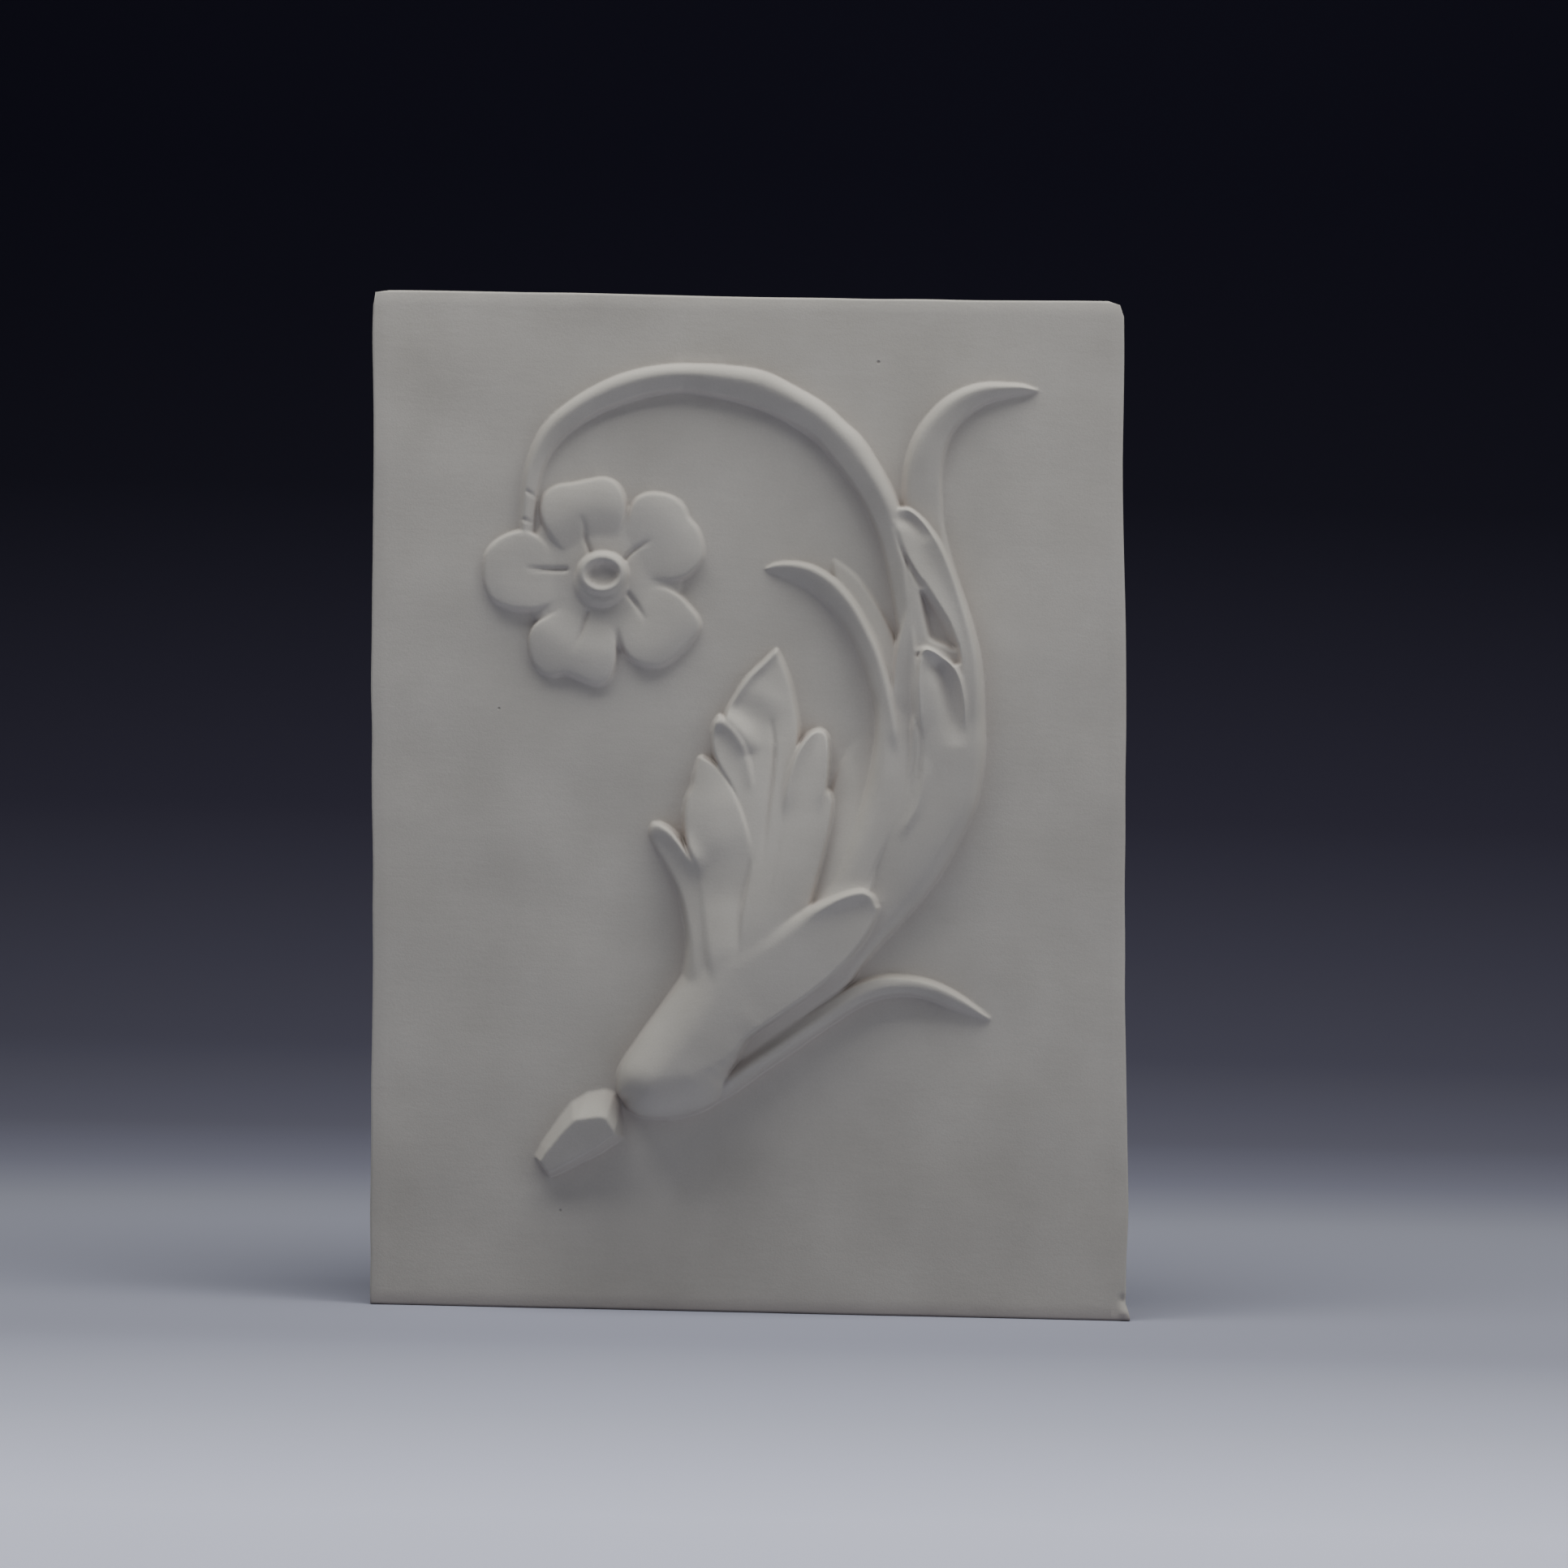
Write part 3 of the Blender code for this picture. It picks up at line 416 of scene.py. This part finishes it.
def bracts(relief):
    """The two bracts on the outer stalk, the pocket between them and the seams below."""
    # The plaster that fills the space behind both.
    relief.lobe(
        ((496, 490), (500, 550), (502, 600), (507, 650), (518, 700), (521, 735), (520, 760)),
        ((594, 490), (602, 550), (600, 600), (594, 655), (572, 705), (544, 735), (526, 760)),
        rise=(18, 20, 22, 24, 26, 26, 24), edges=(3, 3))
    # The upper bract, which ends in a tip beside the arch.
    relief.lobe(
        ((582, 490), (584, 550), (584, 600), (584, 638), (573, 674), (560, 698), (543, 724), (532, 739),
         (522, 755), (514, 770), (510, 788), (505, 804), (505, 815), (510, 824), (516, 825)),
        ((608, 490), (614, 550), (615, 595), (611, 638), (604, 670), (595, 700), (585, 730), (574, 758),
         (562, 782), (548, 802), (537, 814), (526, 822), (517, 825)),
        rise=(18, 30, 36, 37, 34, 30, 26), section=(0.9, 0.96, 1, 1, 0.95),
        tip_section=(0.93, 0.82, 0.76, 0.84, 1.0), edges=((3, 4), (16, 3)), soft=2)
    # The lower bract, with its hollow and its raised lip.
    relief.lobe(
        ((538, 500), (533, 560), (531, 605), (533, 635), (538, 649), (544, 653)),
        ((604, 500), (596, 550), (593, 590), (587, 616), (577, 632), (564, 642), (554, 649), (545, 653)),
        rise=(24, 33, 37, 38), section=(1.0, 0.97, 0.96, 0.98, 1.0), edges=(4, 3), soft=1)
    relief.ridge(((561, 626), (572, 600), (579, 565), (580, 530)), width=13, rise=-10,
        ends=(0.9, 1, 0.7, 0))
    relief.ridge(((536, 647), (545, 649), (561, 643), (575, 631), (585, 612), (591, 580), (591, 550)),
        width=3.5, rise=5, ends=(0.8, 1, 1, 0.8, 0))
    # The pocket, a crease above it, and a small hollow at the upper bract's tip.
    relief.pit(((534, 721), (542, 723), (550, 714), (561, 698), (571, 679), (580, 662), (585, 651),
               (579, 646), (566, 651), (554, 655), (545, 662), (540, 680), (536, 700)), floor=14, edge=10)
    relief.ridge(((505, 800), (513, 775), (525, 750), (538, 726)), width=2.5, rise=-3, ends=(0.5, 1, 1, 1))
    relief.ridge(((512, 809), (526, 807), (541, 791)), width=8, rise=-5, ends=(0.6, 1, 0.6))
    # The seams, two of them raised and two cut.
    relief.ridge(((535, 635), (534, 600), (535, 566)), width=4, rise=3, ends=(0.6, 1, 0.3))
    relief.ridge(((528, 600), (531, 565), (537, 547), (538, 530), (536, 505), (533, 475)), width=2.4,
        rise=-2.5, ends=(0, 0.8, 1, 1, 0.8, 0))
    relief.ridge(((530, 545), (529, 520), (526, 495), (521, 465)), width=2, rise=-2, ends=(0.3, 1, 1, 0))
    relief.ridge(((542, 520), (543, 498), (538, 474), (529, 449), (512, 418)), width=5, rise=3,
        ends=(0, 0.8, 1, 1, 0))


def cut_stem(relief):
    """The cut end of the stem below the bulb, left in flat facets."""
    relief.facets(
        ((63, 25), (72, 42), (94, 74), (109, 92), (129, 104), (149, 108), (162, 104), (168, 93), (172, 70),
         (172, 48), (144, 30), (104, 10), (82, 0)),
        slopes=(2.2, 2.1, 2.0, 1.6, 1.15, 1.1, 1.5, 3.4, 3.4, 2.6, 2.6, 2.6, 7), top=29, tilt=(0.05, 0.2))


def flower(relief):
    """The five-petalled flower with a ring at its heart."""
    heart = (145, 740)
    # Each petal has its outline, the crease that runs out from the heart, and its rise from there outwards.
    petals = (
        (((110, 766), (99, 769), (88, 780), (78, 794), (71, 810), (70, 828), (75, 842), (90, 852),
         (109, 855), (129, 859), (146, 862), (160, 858), (170, 848), (176, 830), (174, 810), (168, 793),
         (160, 780), (148, 774), (136, 777), (124, 772)),
         ((132, 768), (126, 786), (124, 804), (117, 816)), (1, 2, 5, 10, 13, 12, 8)),
        (((170, 766), (172, 782), (175, 800), (179, 818), (186, 834), (199, 842), (216, 843), (234, 838),
         (247, 827), (254, 812), (265, 798), (271, 780), (271, 762), (262, 748), (246, 736), (224, 733),
         (204, 735), (189, 740), (180, 752)),
         ((172, 758), (186, 772), (210, 786)), (2, 3, 6, 9, 11, 11, 8)),
        (((177, 720), (190, 727), (208, 729), (226, 726), (242, 717), (256, 702), (266, 688), (267, 674),
         (258, 660), (242, 644), (226, 631), (210, 627), (192, 631), (177, 642), (168, 660), (164, 680),
         (166, 702)),
         ((178, 718), (190, 702), (202, 682)), (2, 3, 6, 9, 11, 11, 8)),
        (((104, 714), (92, 700), (76, 690), (62, 680), (55, 662), (58, 638), (68, 623), (84, 616),
         (100, 619), (116, 614), (132, 607), (146, 606), (157, 614), (163, 632), (164, 654), (161, 676),
         (154, 690), (134, 698), (118, 706)),
         ((128, 696), (122, 674), (110, 644)), (2, 3, 6, 9, 12, 11, 8)),
        (((102, 748), (93, 762), (82, 776), (68, 790), (50, 797), (32, 793), (14, 783), (2, 768),
         (-1, 746), (2, 726), (12, 709), (34, 699), (59, 697), (82, 703), (97, 715), (100, 732)),
         ((102, 748), (80, 748), (50, 750)), (2, 3, 6, 9, 11, 11, 8)),
    )
    relief.pad(ellipse(heart, 100, 92), rise=7, edge=30)
    for outline, cut, rise in petals:
        relief.petal(outline, heart, rise, edge=3.5, pillow=28, crown=0.22)
        relief.ridge(cut, width=2.5, rise=-3.5, ends=(1, 1, 0.6, 0))
    # The ring on its low boss, and the hole in it.
    relief.pad(ellipse((145, 733), 35, 33), rise=16, edge=12)
    relief.ring(ellipse((147, 742), 24, 20), half_width=9, rise=23)
    relief.pit(ellipse((147, 743), 17, 13), floor=14, edge=5)


def carve(spots):
    """The ornament's height above the ground at each spot, in thousandths."""
    relief = Relief(spots)
    for motif in (upper_tendril, arch_stem, main_stalk, inner_stalk, leaf, lower_tendril, bulb, bracts,
                  cut_stem, flower):
        motif(relief)
    return relief.height


# The carving is worked out once on a close grid of spots, the sheet, and its edges are softened there as the
# mould, a scraper and a damp brush soften them. The mesh then reads its heights from the sheet.
SHEET_STEP = 1.0
SHEET_EDGE = 12
SOFTENING = 1.2

across_sheet = np.arange(-SHEET_EDGE, ORNAMENT_WIDTH + SHEET_EDGE, SHEET_STEP)
up_sheet = np.arange(-SHEET_EDGE, 1000 + SHEET_EDGE, SHEET_STEP)
sheet_spots = np.stack(np.meshgrid(across_sheet, up_sheet), -1).reshape(-1, 2)
sheet = carve(sheet_spots).reshape(len(up_sheet), len(across_sheet))


def soften(heights, radius):
    """The sheet with every height spread over a soft round brush of that radius."""
    reach = int(3 * radius / SHEET_STEP) + 1
    brush = np.exp(-0.5 * (np.arange(-reach, reach + 1) * SHEET_STEP / radius) ** 2)
    brush /= brush.sum()
    for axis in (0, 1):
        padded = np.pad(heights, [(reach, reach) if a == axis else (0, 0) for a in (0, 1)], mode="edge")
        length = heights.shape[axis]
        heights = sum(
            weight * np.take(padded, np.arange(k, k + length), axis=axis) for k, weight in enumerate(brush)
        )
    return heights


sheet = soften(sheet, SOFTENING)


def read_sheet(spots):
    """The sheet's height at each spot, and 0 beyond it."""
    column = np.clip((spots[:, 0] + SHEET_EDGE) / SHEET_STEP, 0, len(across_sheet) - 1.001)
    row = np.clip((spots[:, 1] + SHEET_EDGE) / SHEET_STEP, 0, len(up_sheet) - 1.001)
    c, r = column.astype(int), row.astype(int)
    part_c, part_r = column - c, row - r
    below = sheet[r, c] * (1 - part_c) + sheet[r, c + 1] * part_c
    above = sheet[r + 1, c] * (1 - part_c) + sheet[r + 1, c + 1] * part_c
    return below * (1 - part_r) + above * part_r


# The front's plain rectangle is taken to the slab's own outline: each side leans and wanders, and the
# corners are worn round. A thin fin of plaster is left at the foot's right corner. It stands forward a
# little, and above it the edge is notched and dented. The wander is read evenly along a side.
LEFT_WANDER = (-0.0004, 0, -0.0003, 0, 0.0001, 0, 0.0003, 0.0005, 0.0006, 0.0004, 0.0005, 0.0001, -0.0002,
               -0.0001, -0.0006, -0.0004, -0.0003, -0.0001, 0, 0.0002, 0.0002, -0.0001, -0.0005, 0)
RIGHT_WANDER = (-0.0009, -0.0009, 0.0002, 0, -0.0003, -0.0006, -0.0009, -0.0007, -0.0008, -0.0004, -0.0003,
                0.0002, 0.0003, 0.0002, -0.0003, -0.0007, -0.0008, -0.0003, 0.0001, 0)
TOP_WANDER = (0, 0.0002, 0.0001, 0, 0.0001, -0.0001, -0.0003, -0.0005, -0.0006, -0.0005, -0.0006, -0.0004,
              -0.0005, -0.0003, -0.0001, 0)
FIN_FORWARD = 0.001
FIN_MIDDLE = 0.0035
FIN_REACH = 0.0024
FIN_WIDTH = 0.0016
NOTCH = 0.0003
NOTCH_MIDDLE = 0.009
DENT = 0.0009
DENT_MIDDLE = 0.0095
DENT_REACH = 0.002


def round_corners(x, z):
    """Draws the rectangle's corners in to their radii."""
    for corner_x, corner_z, radius in (
        (0, 0, FOOT_CORNER_RADIUS), (WIDTH, 0, FOOT_CORNER_RADIUS),
        (0, HEIGHT, TOP_LEFT_RADIUS), (WIDTH, HEIGHT, TOP_RIGHT_RADIUS),
    ):
        out_x = np.maximum(1 - np.abs(x - corner_x) / radius, 0)
        out_z = np.maximum(1 - np.abs(z - corner_z) / radius, 0)
        pull_x = out_x * (1 - np.sqrt(1 - out_z**2 / 2))
        pull_z = out_z * (1 - np.sqrt(1 - out_x**2 / 2))
        x = x + np.sign(WIDTH / 2 - corner_x) * pull_x * radius
        z = z + np.sign(HEIGHT / 2 - corner_z) * pull_z * radius
    return x, z


def outline(places):
    """Takes places on the plain rectangle to the slab's own outline. The fin is on its last hundredth."""
    x, z = round_corners(*places.T)
    across, up = x / WIDTH, z / HEIGHT
    z = z * (1 + across * WIDTH / HEIGHT * tan(radians(TOP_RISE))) + eased(TOP_WANDER, across) * up
    left_side = eased(LEFT_WANDER, up) - z * tan(radians(LEFT_SIDE_LEAN))
    right_side = WIDTH + eased(RIGHT_WANDER, up) - z * tan(radians(RIGHT_SIDE_LEAN))
    fin = CORNER_FIN * np.clip(1 - z / CORNER_FIN_HEIGHT, 0, 1) - NOTCH * swell(z, NOTCH_MIDDLE, DENT_REACH)
    return left_side + (right_side - left_side) * across + fin * sloped(across - 0.99, 0.01), z


def unevenness(x, z):
    """The ground's gentle unevenness, left by the scraper: long low waves. Each has its length, the way that
    it runs in degrees, and its height."""
    waves = ((0.062, 20, 0.00009), (0.049, 75, 0.00008), (0.085, 130, 0.00014), (0.036, 165, 0.00005))
    return sum(
        height * np.sin(2 * pi * (x * cos(radians(turn)) + z * sin(radians(turn))) / length + turn)
        for length, turn, height in waves
    )


def standing_out(places):
    """How far the surface stands forward of the ground, in metres, at places on the plain rectangle."""
    x, z = outline(places)
    lean = radians(ORNAMENT_LEAN)
    from_left = (x - MARGIN_LEFT) / THOUSANDTH
    from_below = (z - MARGIN_BELOW) / THOUSANDTH
    drawn = np.stack([
        from_left * cos(lean) + from_below * sin(lean),
        from_below * cos(lean) - from_left * sin(lean),
    ], 1)
    fin = FIN_FORWARD * swell(z, FIN_MIDDLE, FIN_REACH) - DENT * swell(z, DENT_MIDDLE, DENT_REACH)
    fin = fin * swell(places[:, 0], WIDTH - FIN_WIDTH, FIN_WIDTH)
    return read_sheet(drawn) * THOUSANDTH + unevenness(x, z) + fin


def places_of(verts):
    """The vertices' places on the plain rectangle."""
    return np.array([vertex.co[:2] for vertex in verts])


# The front starts as a grid of plain cells. Each round cuts the cells finer where the surface bends away
# from their edges by more than that round's length. The first rounds also cut all cells on the carving.
FIRST_CELL = 0.0056
CARVED = 0.0006
CARVED_ROUNDS = 2
BENDS = ((0.00004, 0.00004, 0.00005, 0.00007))

mesh = bmesh.new()
columns, rows = round(WIDTH / FIRST_CELL), round(HEIGHT / FIRST_CELL)
bmesh.ops.create_grid(mesh, x_segments=columns, y_segments=rows, size=0.5)
bmesh.ops.translate(mesh, vec=(0.5, 0.5, 0), verts=mesh.verts)
bmesh.ops.scale(mesh, vec=(WIDTH - 2 * ARRIS_RADIUS, HEIGHT - 2 * ARRIS_RADIUS, 1), verts=mesh.verts)
bmesh.ops.translate(mesh, vec=(ARRIS_RADIUS, ARRIS_RADIUS, 0), verts=mesh.verts)
for turn, bend in enumerate(BENDS):
    mesh.verts.index_update()
    ends = np.array([[vertex.index for vertex in edge.verts] for edge in mesh.edges])
    places = places_of(mesh.verts)
    risen = standing_out(places)
    bends = np.abs(standing_out(places[ends].mean(1)) - risen[ends].mean(1)) > bend
    if turn < CARVED_ROUNDS:
        bends |= risen[ends].max(1) > CARVED
    bent_faces = {face for edge, bent in zip(mesh.edges, bends) if bent for face in edge.link_faces}
    bent_edges = list({edge for face in bent_faces for edge in face.edges})
    bmesh.ops.subdivide_edges(mesh, edges=bent_edges, cuts=1, use_grid_fill=True)

# The border turns over the rounded arris in three steps and back into the sides, and the back is flat. Then
# every vertex goes from the plain rectangle to its place on the slab, and the slab to its node's place.
rim = [edge for edge in mesh.edges if edge.is_boundary]
for turn in (30, 60, 90, 90):
    ring = bmesh.ops.extrude_edge_only(mesh, edges=rim)["geom"]
    rim = [item for item in ring if isinstance(item, bmesh.types.BMEdge) and item.is_boundary]
    out, fall = ARRIS_RADIUS * sin(radians(turn)), ARRIS_RADIUS * (1 - cos(radians(turn)))
    for vertex in {vertex for edge in rim for vertex in edge.verts}:
        for axis, length in enumerate((WIDTH, HEIGHT)):
            if vertex.co[axis] < ARRIS_RADIUS + 1e-6:
                vertex.co[axis] = ARRIS_RADIUS - out
            elif vertex.co[axis] > length - ARRIS_RADIUS - 1e-6:
                vertex.co[axis] = length - ARRIS_RADIUS + out
        vertex.co.z = fall
back = {vertex for edge in rim for vertex in edge.verts}
bmesh.ops.holes_fill(mesh, edges=rim, sides=0)
places = places_of(mesh.verts)
risen = standing_out(places)
x, z = outline(places)
for vertex, place_x, height, place_z in zip(mesh.verts, x, risen, z):
    vertex.co = place_x, SLAB_THICKNESS if vertex in back else vertex.co.z - height, place_z
bmesh.ops.recalc_face_normals(mesh, faces=mesh.faces)

node_low, node_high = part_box("relief_slab")
foot_left, ground = node_low[0] - x.min(), node_high[1] - SLAB_THICKNESS
bmesh.ops.translate(mesh, vec=(foot_left, ground, node_low[2] - z.min()), verts=mesh.verts)

data = bpy.data.meshes.new("plaster_relief")
mesh.to_mesh(data)
mesh.free()
data.shade_smooth()
data.set_sharp_from_angle(angle=radians(70))
plaster_relief = bpy.data.objects.new("plaster_relief", data)
bpy.context.scene.collection.objects.link(plaster_relief)
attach(plaster_relief, "root")
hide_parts("relief_slab")

# Gypsum plaster, scraped and brushed while damp. To the eye it is bare, matt and off-white, with faint
# clouds of tone, brush strokes and a few open air pits. Painted shade, warm and dark, lies in its recesses
# and creases. The sizes of its patterns are in millimetres. Its real grain is too fine to show, so it is
# drawn coarser.
CLOUD_SIZE = 45
GRAIN_SIZE = 0.9
PIT_SPACING = 34
PITTED_PATCH = 25
STROKE_WIDTH = 3


def linear(code):
    """An sRGB hex colour as the linear colour that a shader takes."""
    parts = [int(code[k:k + 2], 16) / 255 for k in (1, 3, 5)]
    return [c / 12.92 if c <= 0.04045 else ((c + 0.055) / 1.055) ** 2.4 for c in parts] + [1]


def add_node(kind, sockets, output=0, **settings):
    """Adds a shader node with its sockets linked or set, and gives back one of its outputs."""
    node = nodes.new(kind)
    for name, value in settings.items():
        setattr(node, name, value)
    for socket, value in sockets.items():
        if isinstance(value, bpy.types.NodeSocket):
            links.new(value, node.inputs[socket])
        else:
            node.inputs[socket].default_value = value
    return node.outputs[output]


material = bpy.data.materials.new("Cast gypsum plaster")
material.use_nodes = True
nodes, links = material.node_tree.nodes, material.node_tree.links
surface = nodes["Principled BSDF"]
surface.inputs["Roughness"].default_value = 0.9
place = nodes.new("ShaderNodeTexCoord").outputs["Object"]

clouds = add_node("ShaderNodeTexNoise", {"Vector": place, "Scale": 1000 / CLOUD_SIZE, "Detail": 3})
share = add_node("ShaderNodeMapRange", {"Value": clouds, "From Min": 0.3, "From Max": 0.7})
tone = add_node("ShaderNodeMix", {0: share, 6: linear("#B9B5AB"), 7: linear("#C6C2B8")}, 2, data_type="RGBA")

grain = add_node("ShaderNodeTexNoise", {
    "Vector": place, "Scale": 1000 / GRAIN_SIZE, "Detail": 4, "Roughness": 0.6,
})
grain = add_node("ShaderNodeMapRange", {"Value": grain, "From Min": 0.25, "From Max": 0.75})
share = add_node("ShaderNodeMapRange", {"Value": grain, "To Max": 0.14})
tone = add_node("ShaderNodeMix", {0: share, 6: tone, 7: linear("#8E8A84")}, 2, data_type="RGBA")

# Painted shade: a recess is tinted warm and dark by what stands within 10 mm of it, a crease by 2.4 mm.
for reach, clear, shut, most, code in (
    (0.01, 0.9, 0.4, 0.5, "#B3A5A0"), (0.0024, 0.8, 0.3, 0.72, "#7E7772"),
):
    air = add_node("ShaderNodeAmbientOcclusion", {"Distance": reach}, "AO", samples=4)
    share = add_node("ShaderNodeMapRange", {
        "Value": air, "From Min": clear, "From Max": shut, "To Max": most,
    })
    tone = add_node("ShaderNodeMix", {0: share, 6: tone, 7: linear(code)}, 2, data_type="RGBA")

# A pit is 1 to 2 mm wide, in the middle of some cells of a loose pattern.
cells = add_node("ShaderNodeTexVoronoi", {"Vector": place, "Scale": 1000 / PIT_SPACING}, "Distance")
middle = add_node("ShaderNodeMapRange", {
    "Value": cells, "From Min": 0.016, "From Max": 0.03, "To Min": 1, "To Max": 0,
})
patches = add_node("ShaderNodeTexNoise", {"Vector": place, "Scale": 1000 / PITTED_PATCH})
chosen = add_node("ShaderNodeMapRange", {"Value": patches, "From Min": 0.55, "From Max": 0.56})
pits = add_node("ShaderNodeMath", {0: middle, 1: chosen}, operation="MULTIPLY")
share = add_node("ShaderNodeMapRange", {"Value": pits, "To Max": 0.5})
tone = add_node("ShaderNodeMix", {0: share, 6: tone, 7: linear("#4A4643")}, 2, data_type="RGBA")
links.new(tone, surface.inputs["Base Color"])

brushed = add_node("ShaderNodeMapping", {
    "Vector": place, "Rotation": (0, radians(35), 0), "Scale": (0.25, 1, 1),
})
strokes = add_node("ShaderNodeTexNoise", {"Vector": brushed, "Scale": 1000 / STROKE_WIDTH, "Detail": 3})
strokes = add_node("ShaderNodeMapRange", {"Value": strokes, "From Min": 0.3, "From Max": 0.7, "To Max": 0.8})
texture = add_node("ShaderNodeMath", {0: grain, 1: strokes}, operation="ADD")
normal = add_node("ShaderNodeBump", {"Strength": 0.12, "Distance": 0.0003, "Height": texture})
holes = add_node("ShaderNodeMath", {0: pits, 1: -1.0}, operation="MULTIPLY")
normal = add_node("ShaderNodeBump", {
    "Strength": 0.6, "Distance": 0.0006, "Height": holes, "Normal": normal,
})
links.new(normal, surface.inputs["Normal"])
data.materials.append(material)

# The stage: a sheet of matt paper that curves up from the floor into the backdrop. Its tone is painted
# shade: pale in front and darker the farther back and the higher a place is.
FLOOR_BEHIND = 0.55
SWEEP_RADIUS = 0.6
mesh = bmesh.new()
bmesh.ops.create_grid(mesh, x_segments=1, y_segments=1, size=1)
bmesh.ops.scale(mesh, vec=(4, 2, 1), verts=mesh.verts)
bmesh.ops.translate(mesh, vec=(0, FLOOR_BEHIND - 2, 0), verts=mesh.verts)
edge = [e for e in mesh.edges if all(v.co.y > FLOOR_BEHIND - 0.01 for v in e.verts)]
bmesh.ops.spin(mesh, geom=edge, cent=(0, FLOOR_BEHIND, SWEEP_RADIUS), axis=(1, 0, 0), angle=pi / 2, steps=24)
edge = [e for e in mesh.edges if all(v.co.z > SWEEP_RADIUS - 0.001 for v in e.verts)]
wall = bmesh.ops.extrude_edge_only(mesh, edges=edge)["geom"]
bmesh.ops.translate(mesh, vec=(0, 0, 3), verts=[v for v in wall if isinstance(v, bmesh.types.BMVert)])
bmesh.ops.recalc_face_normals(mesh, faces=mesh.faces)
data = bpy.data.meshes.new("floor")
mesh.to_mesh(data)
mesh.free()
data.shade_smooth()
floor = bpy.data.objects.new("floor", data)
bpy.context.scene.collection.objects.link(floor)
material = bpy.data.materials.new("Matt paper sweep")
material.use_nodes = True
nodes, links = material.node_tree.nodes, material.node_tree.links
surface = nodes["Principled BSDF"]
surface.inputs["Roughness"].default_value = 1.0
surface.inputs["Specular IOR Level"].default_value = 0.0
place = nodes.new("ShaderNodeTexCoord").outputs["Object"]
# Painted shade, darker the farther back and the higher a place is on the sweep.
away = add_node("ShaderNodeVectorMath", {0: place, 1: (0, 0.2, 1)}, "Value", operation="DOT_PRODUCT")
away = add_node("ShaderNodeMapRange", {"Value": away, "From Min": -0.2, "From Max": 1.0})
ramp = add_node("ShaderNodeValToRGB", {0: away})
links.new(ramp, surface.inputs["Base Color"])
stops = ramp.node.color_ramp.elements
stops[0].position, stops[0].color = 0.0, linear("#EAEDFF")
stops[1].position, stops[1].color = 0.94, linear("#1C1B26")
for position, code in (
    (0.09, "#E7EAFE"), (0.12, "#C1C4D4"), (0.15, "#9EA0AE"), (0.18, "#A3A5B3"), (0.226, "#9EA0AC"),
    (0.26, "#888998"), (0.29, "#6E6E7C"), (0.346, "#575664"), (0.51, "#3A3845"), (0.73, "#22212B"),
):
    stop = stops.new(position)
    stop.color = linear(code)
data.materials.append(material)

# Light: one broad soft light above and a little in front of the slab, a weak fill from each side, and a dim
# room around them.
def softbox(name, place, aim, size, watts):
    """A flat lamp at a place, turned to what it lights."""
    light = bpy.data.lights.new(name, "AREA")
    light.shape = "RECTANGLE"
    light.size, light.size_y = size
    light.energy = watts
    lamp = bpy.data.objects.new(name, light)
    lamp.location = place
    lamp.rotation_euler = (Vector(aim) - Vector(place)).to_track_quat("-Z", "Y").to_euler()
    bpy.context.scene.collection.objects.link(lamp)


MIDDLE = (0, 0, 0.25)
softbox("Overhead softbox", (0.04, -0.3, 1.5), (0.02, -0.06, 0.2), (2.0, 0.56), 24)
softbox("Left strip", (-1.6, 0.2, 0.6), MIDDLE, (0.5, 1.2), 0.5)
softbox("Right fill", (1.5, -0.7, 0.8), MIDDLE, (0.8, 1.2), 5)
world = bpy.data.worlds.new("Dim room")
world.use_nodes = True
world.node_tree.nodes["Background"].inputs["Color"].default_value = linear("#8A8CA0")
world.node_tree.nodes["Background"].inputs["Strength"].default_value = 0.08
bpy.context.scene.world = world

# The camera: straight on, and rolled a little as the picture was taken. It is placed from the foot's left
# corner and the slab's ground, and the picture's width is taken there.
CAMERA_DISTANCE = 1.6
CAMERA_FROM_LEFT = 0.1759
CAMERA_HEIGHT = 0.2316
CAMERA_ROLL = 1.287
PICTURE_WIDTH = 0.68586
camera = bpy.data.cameras.new("Camera")
camera.sensor_width = 36
camera.sensor_fit = "HORIZONTAL"
camera.angle = 2 * atan(PICTURE_WIDTH / 2 / CAMERA_DISTANCE)
viewer = bpy.data.objects.new("Camera", camera)
viewer.location = (foot_left + CAMERA_FROM_LEFT, ground - CAMERA_DISTANCE, CAMERA_HEIGHT)
upright = Matrix.Rotation(pi / 2, 3, "X")
viewer.rotation_euler = (Matrix.Rotation(radians(-CAMERA_ROLL), 3, "Y") @ upright).to_euler()
bpy.context.scene.collection.objects.link(viewer)
bpy.context.scene.camera = viewer
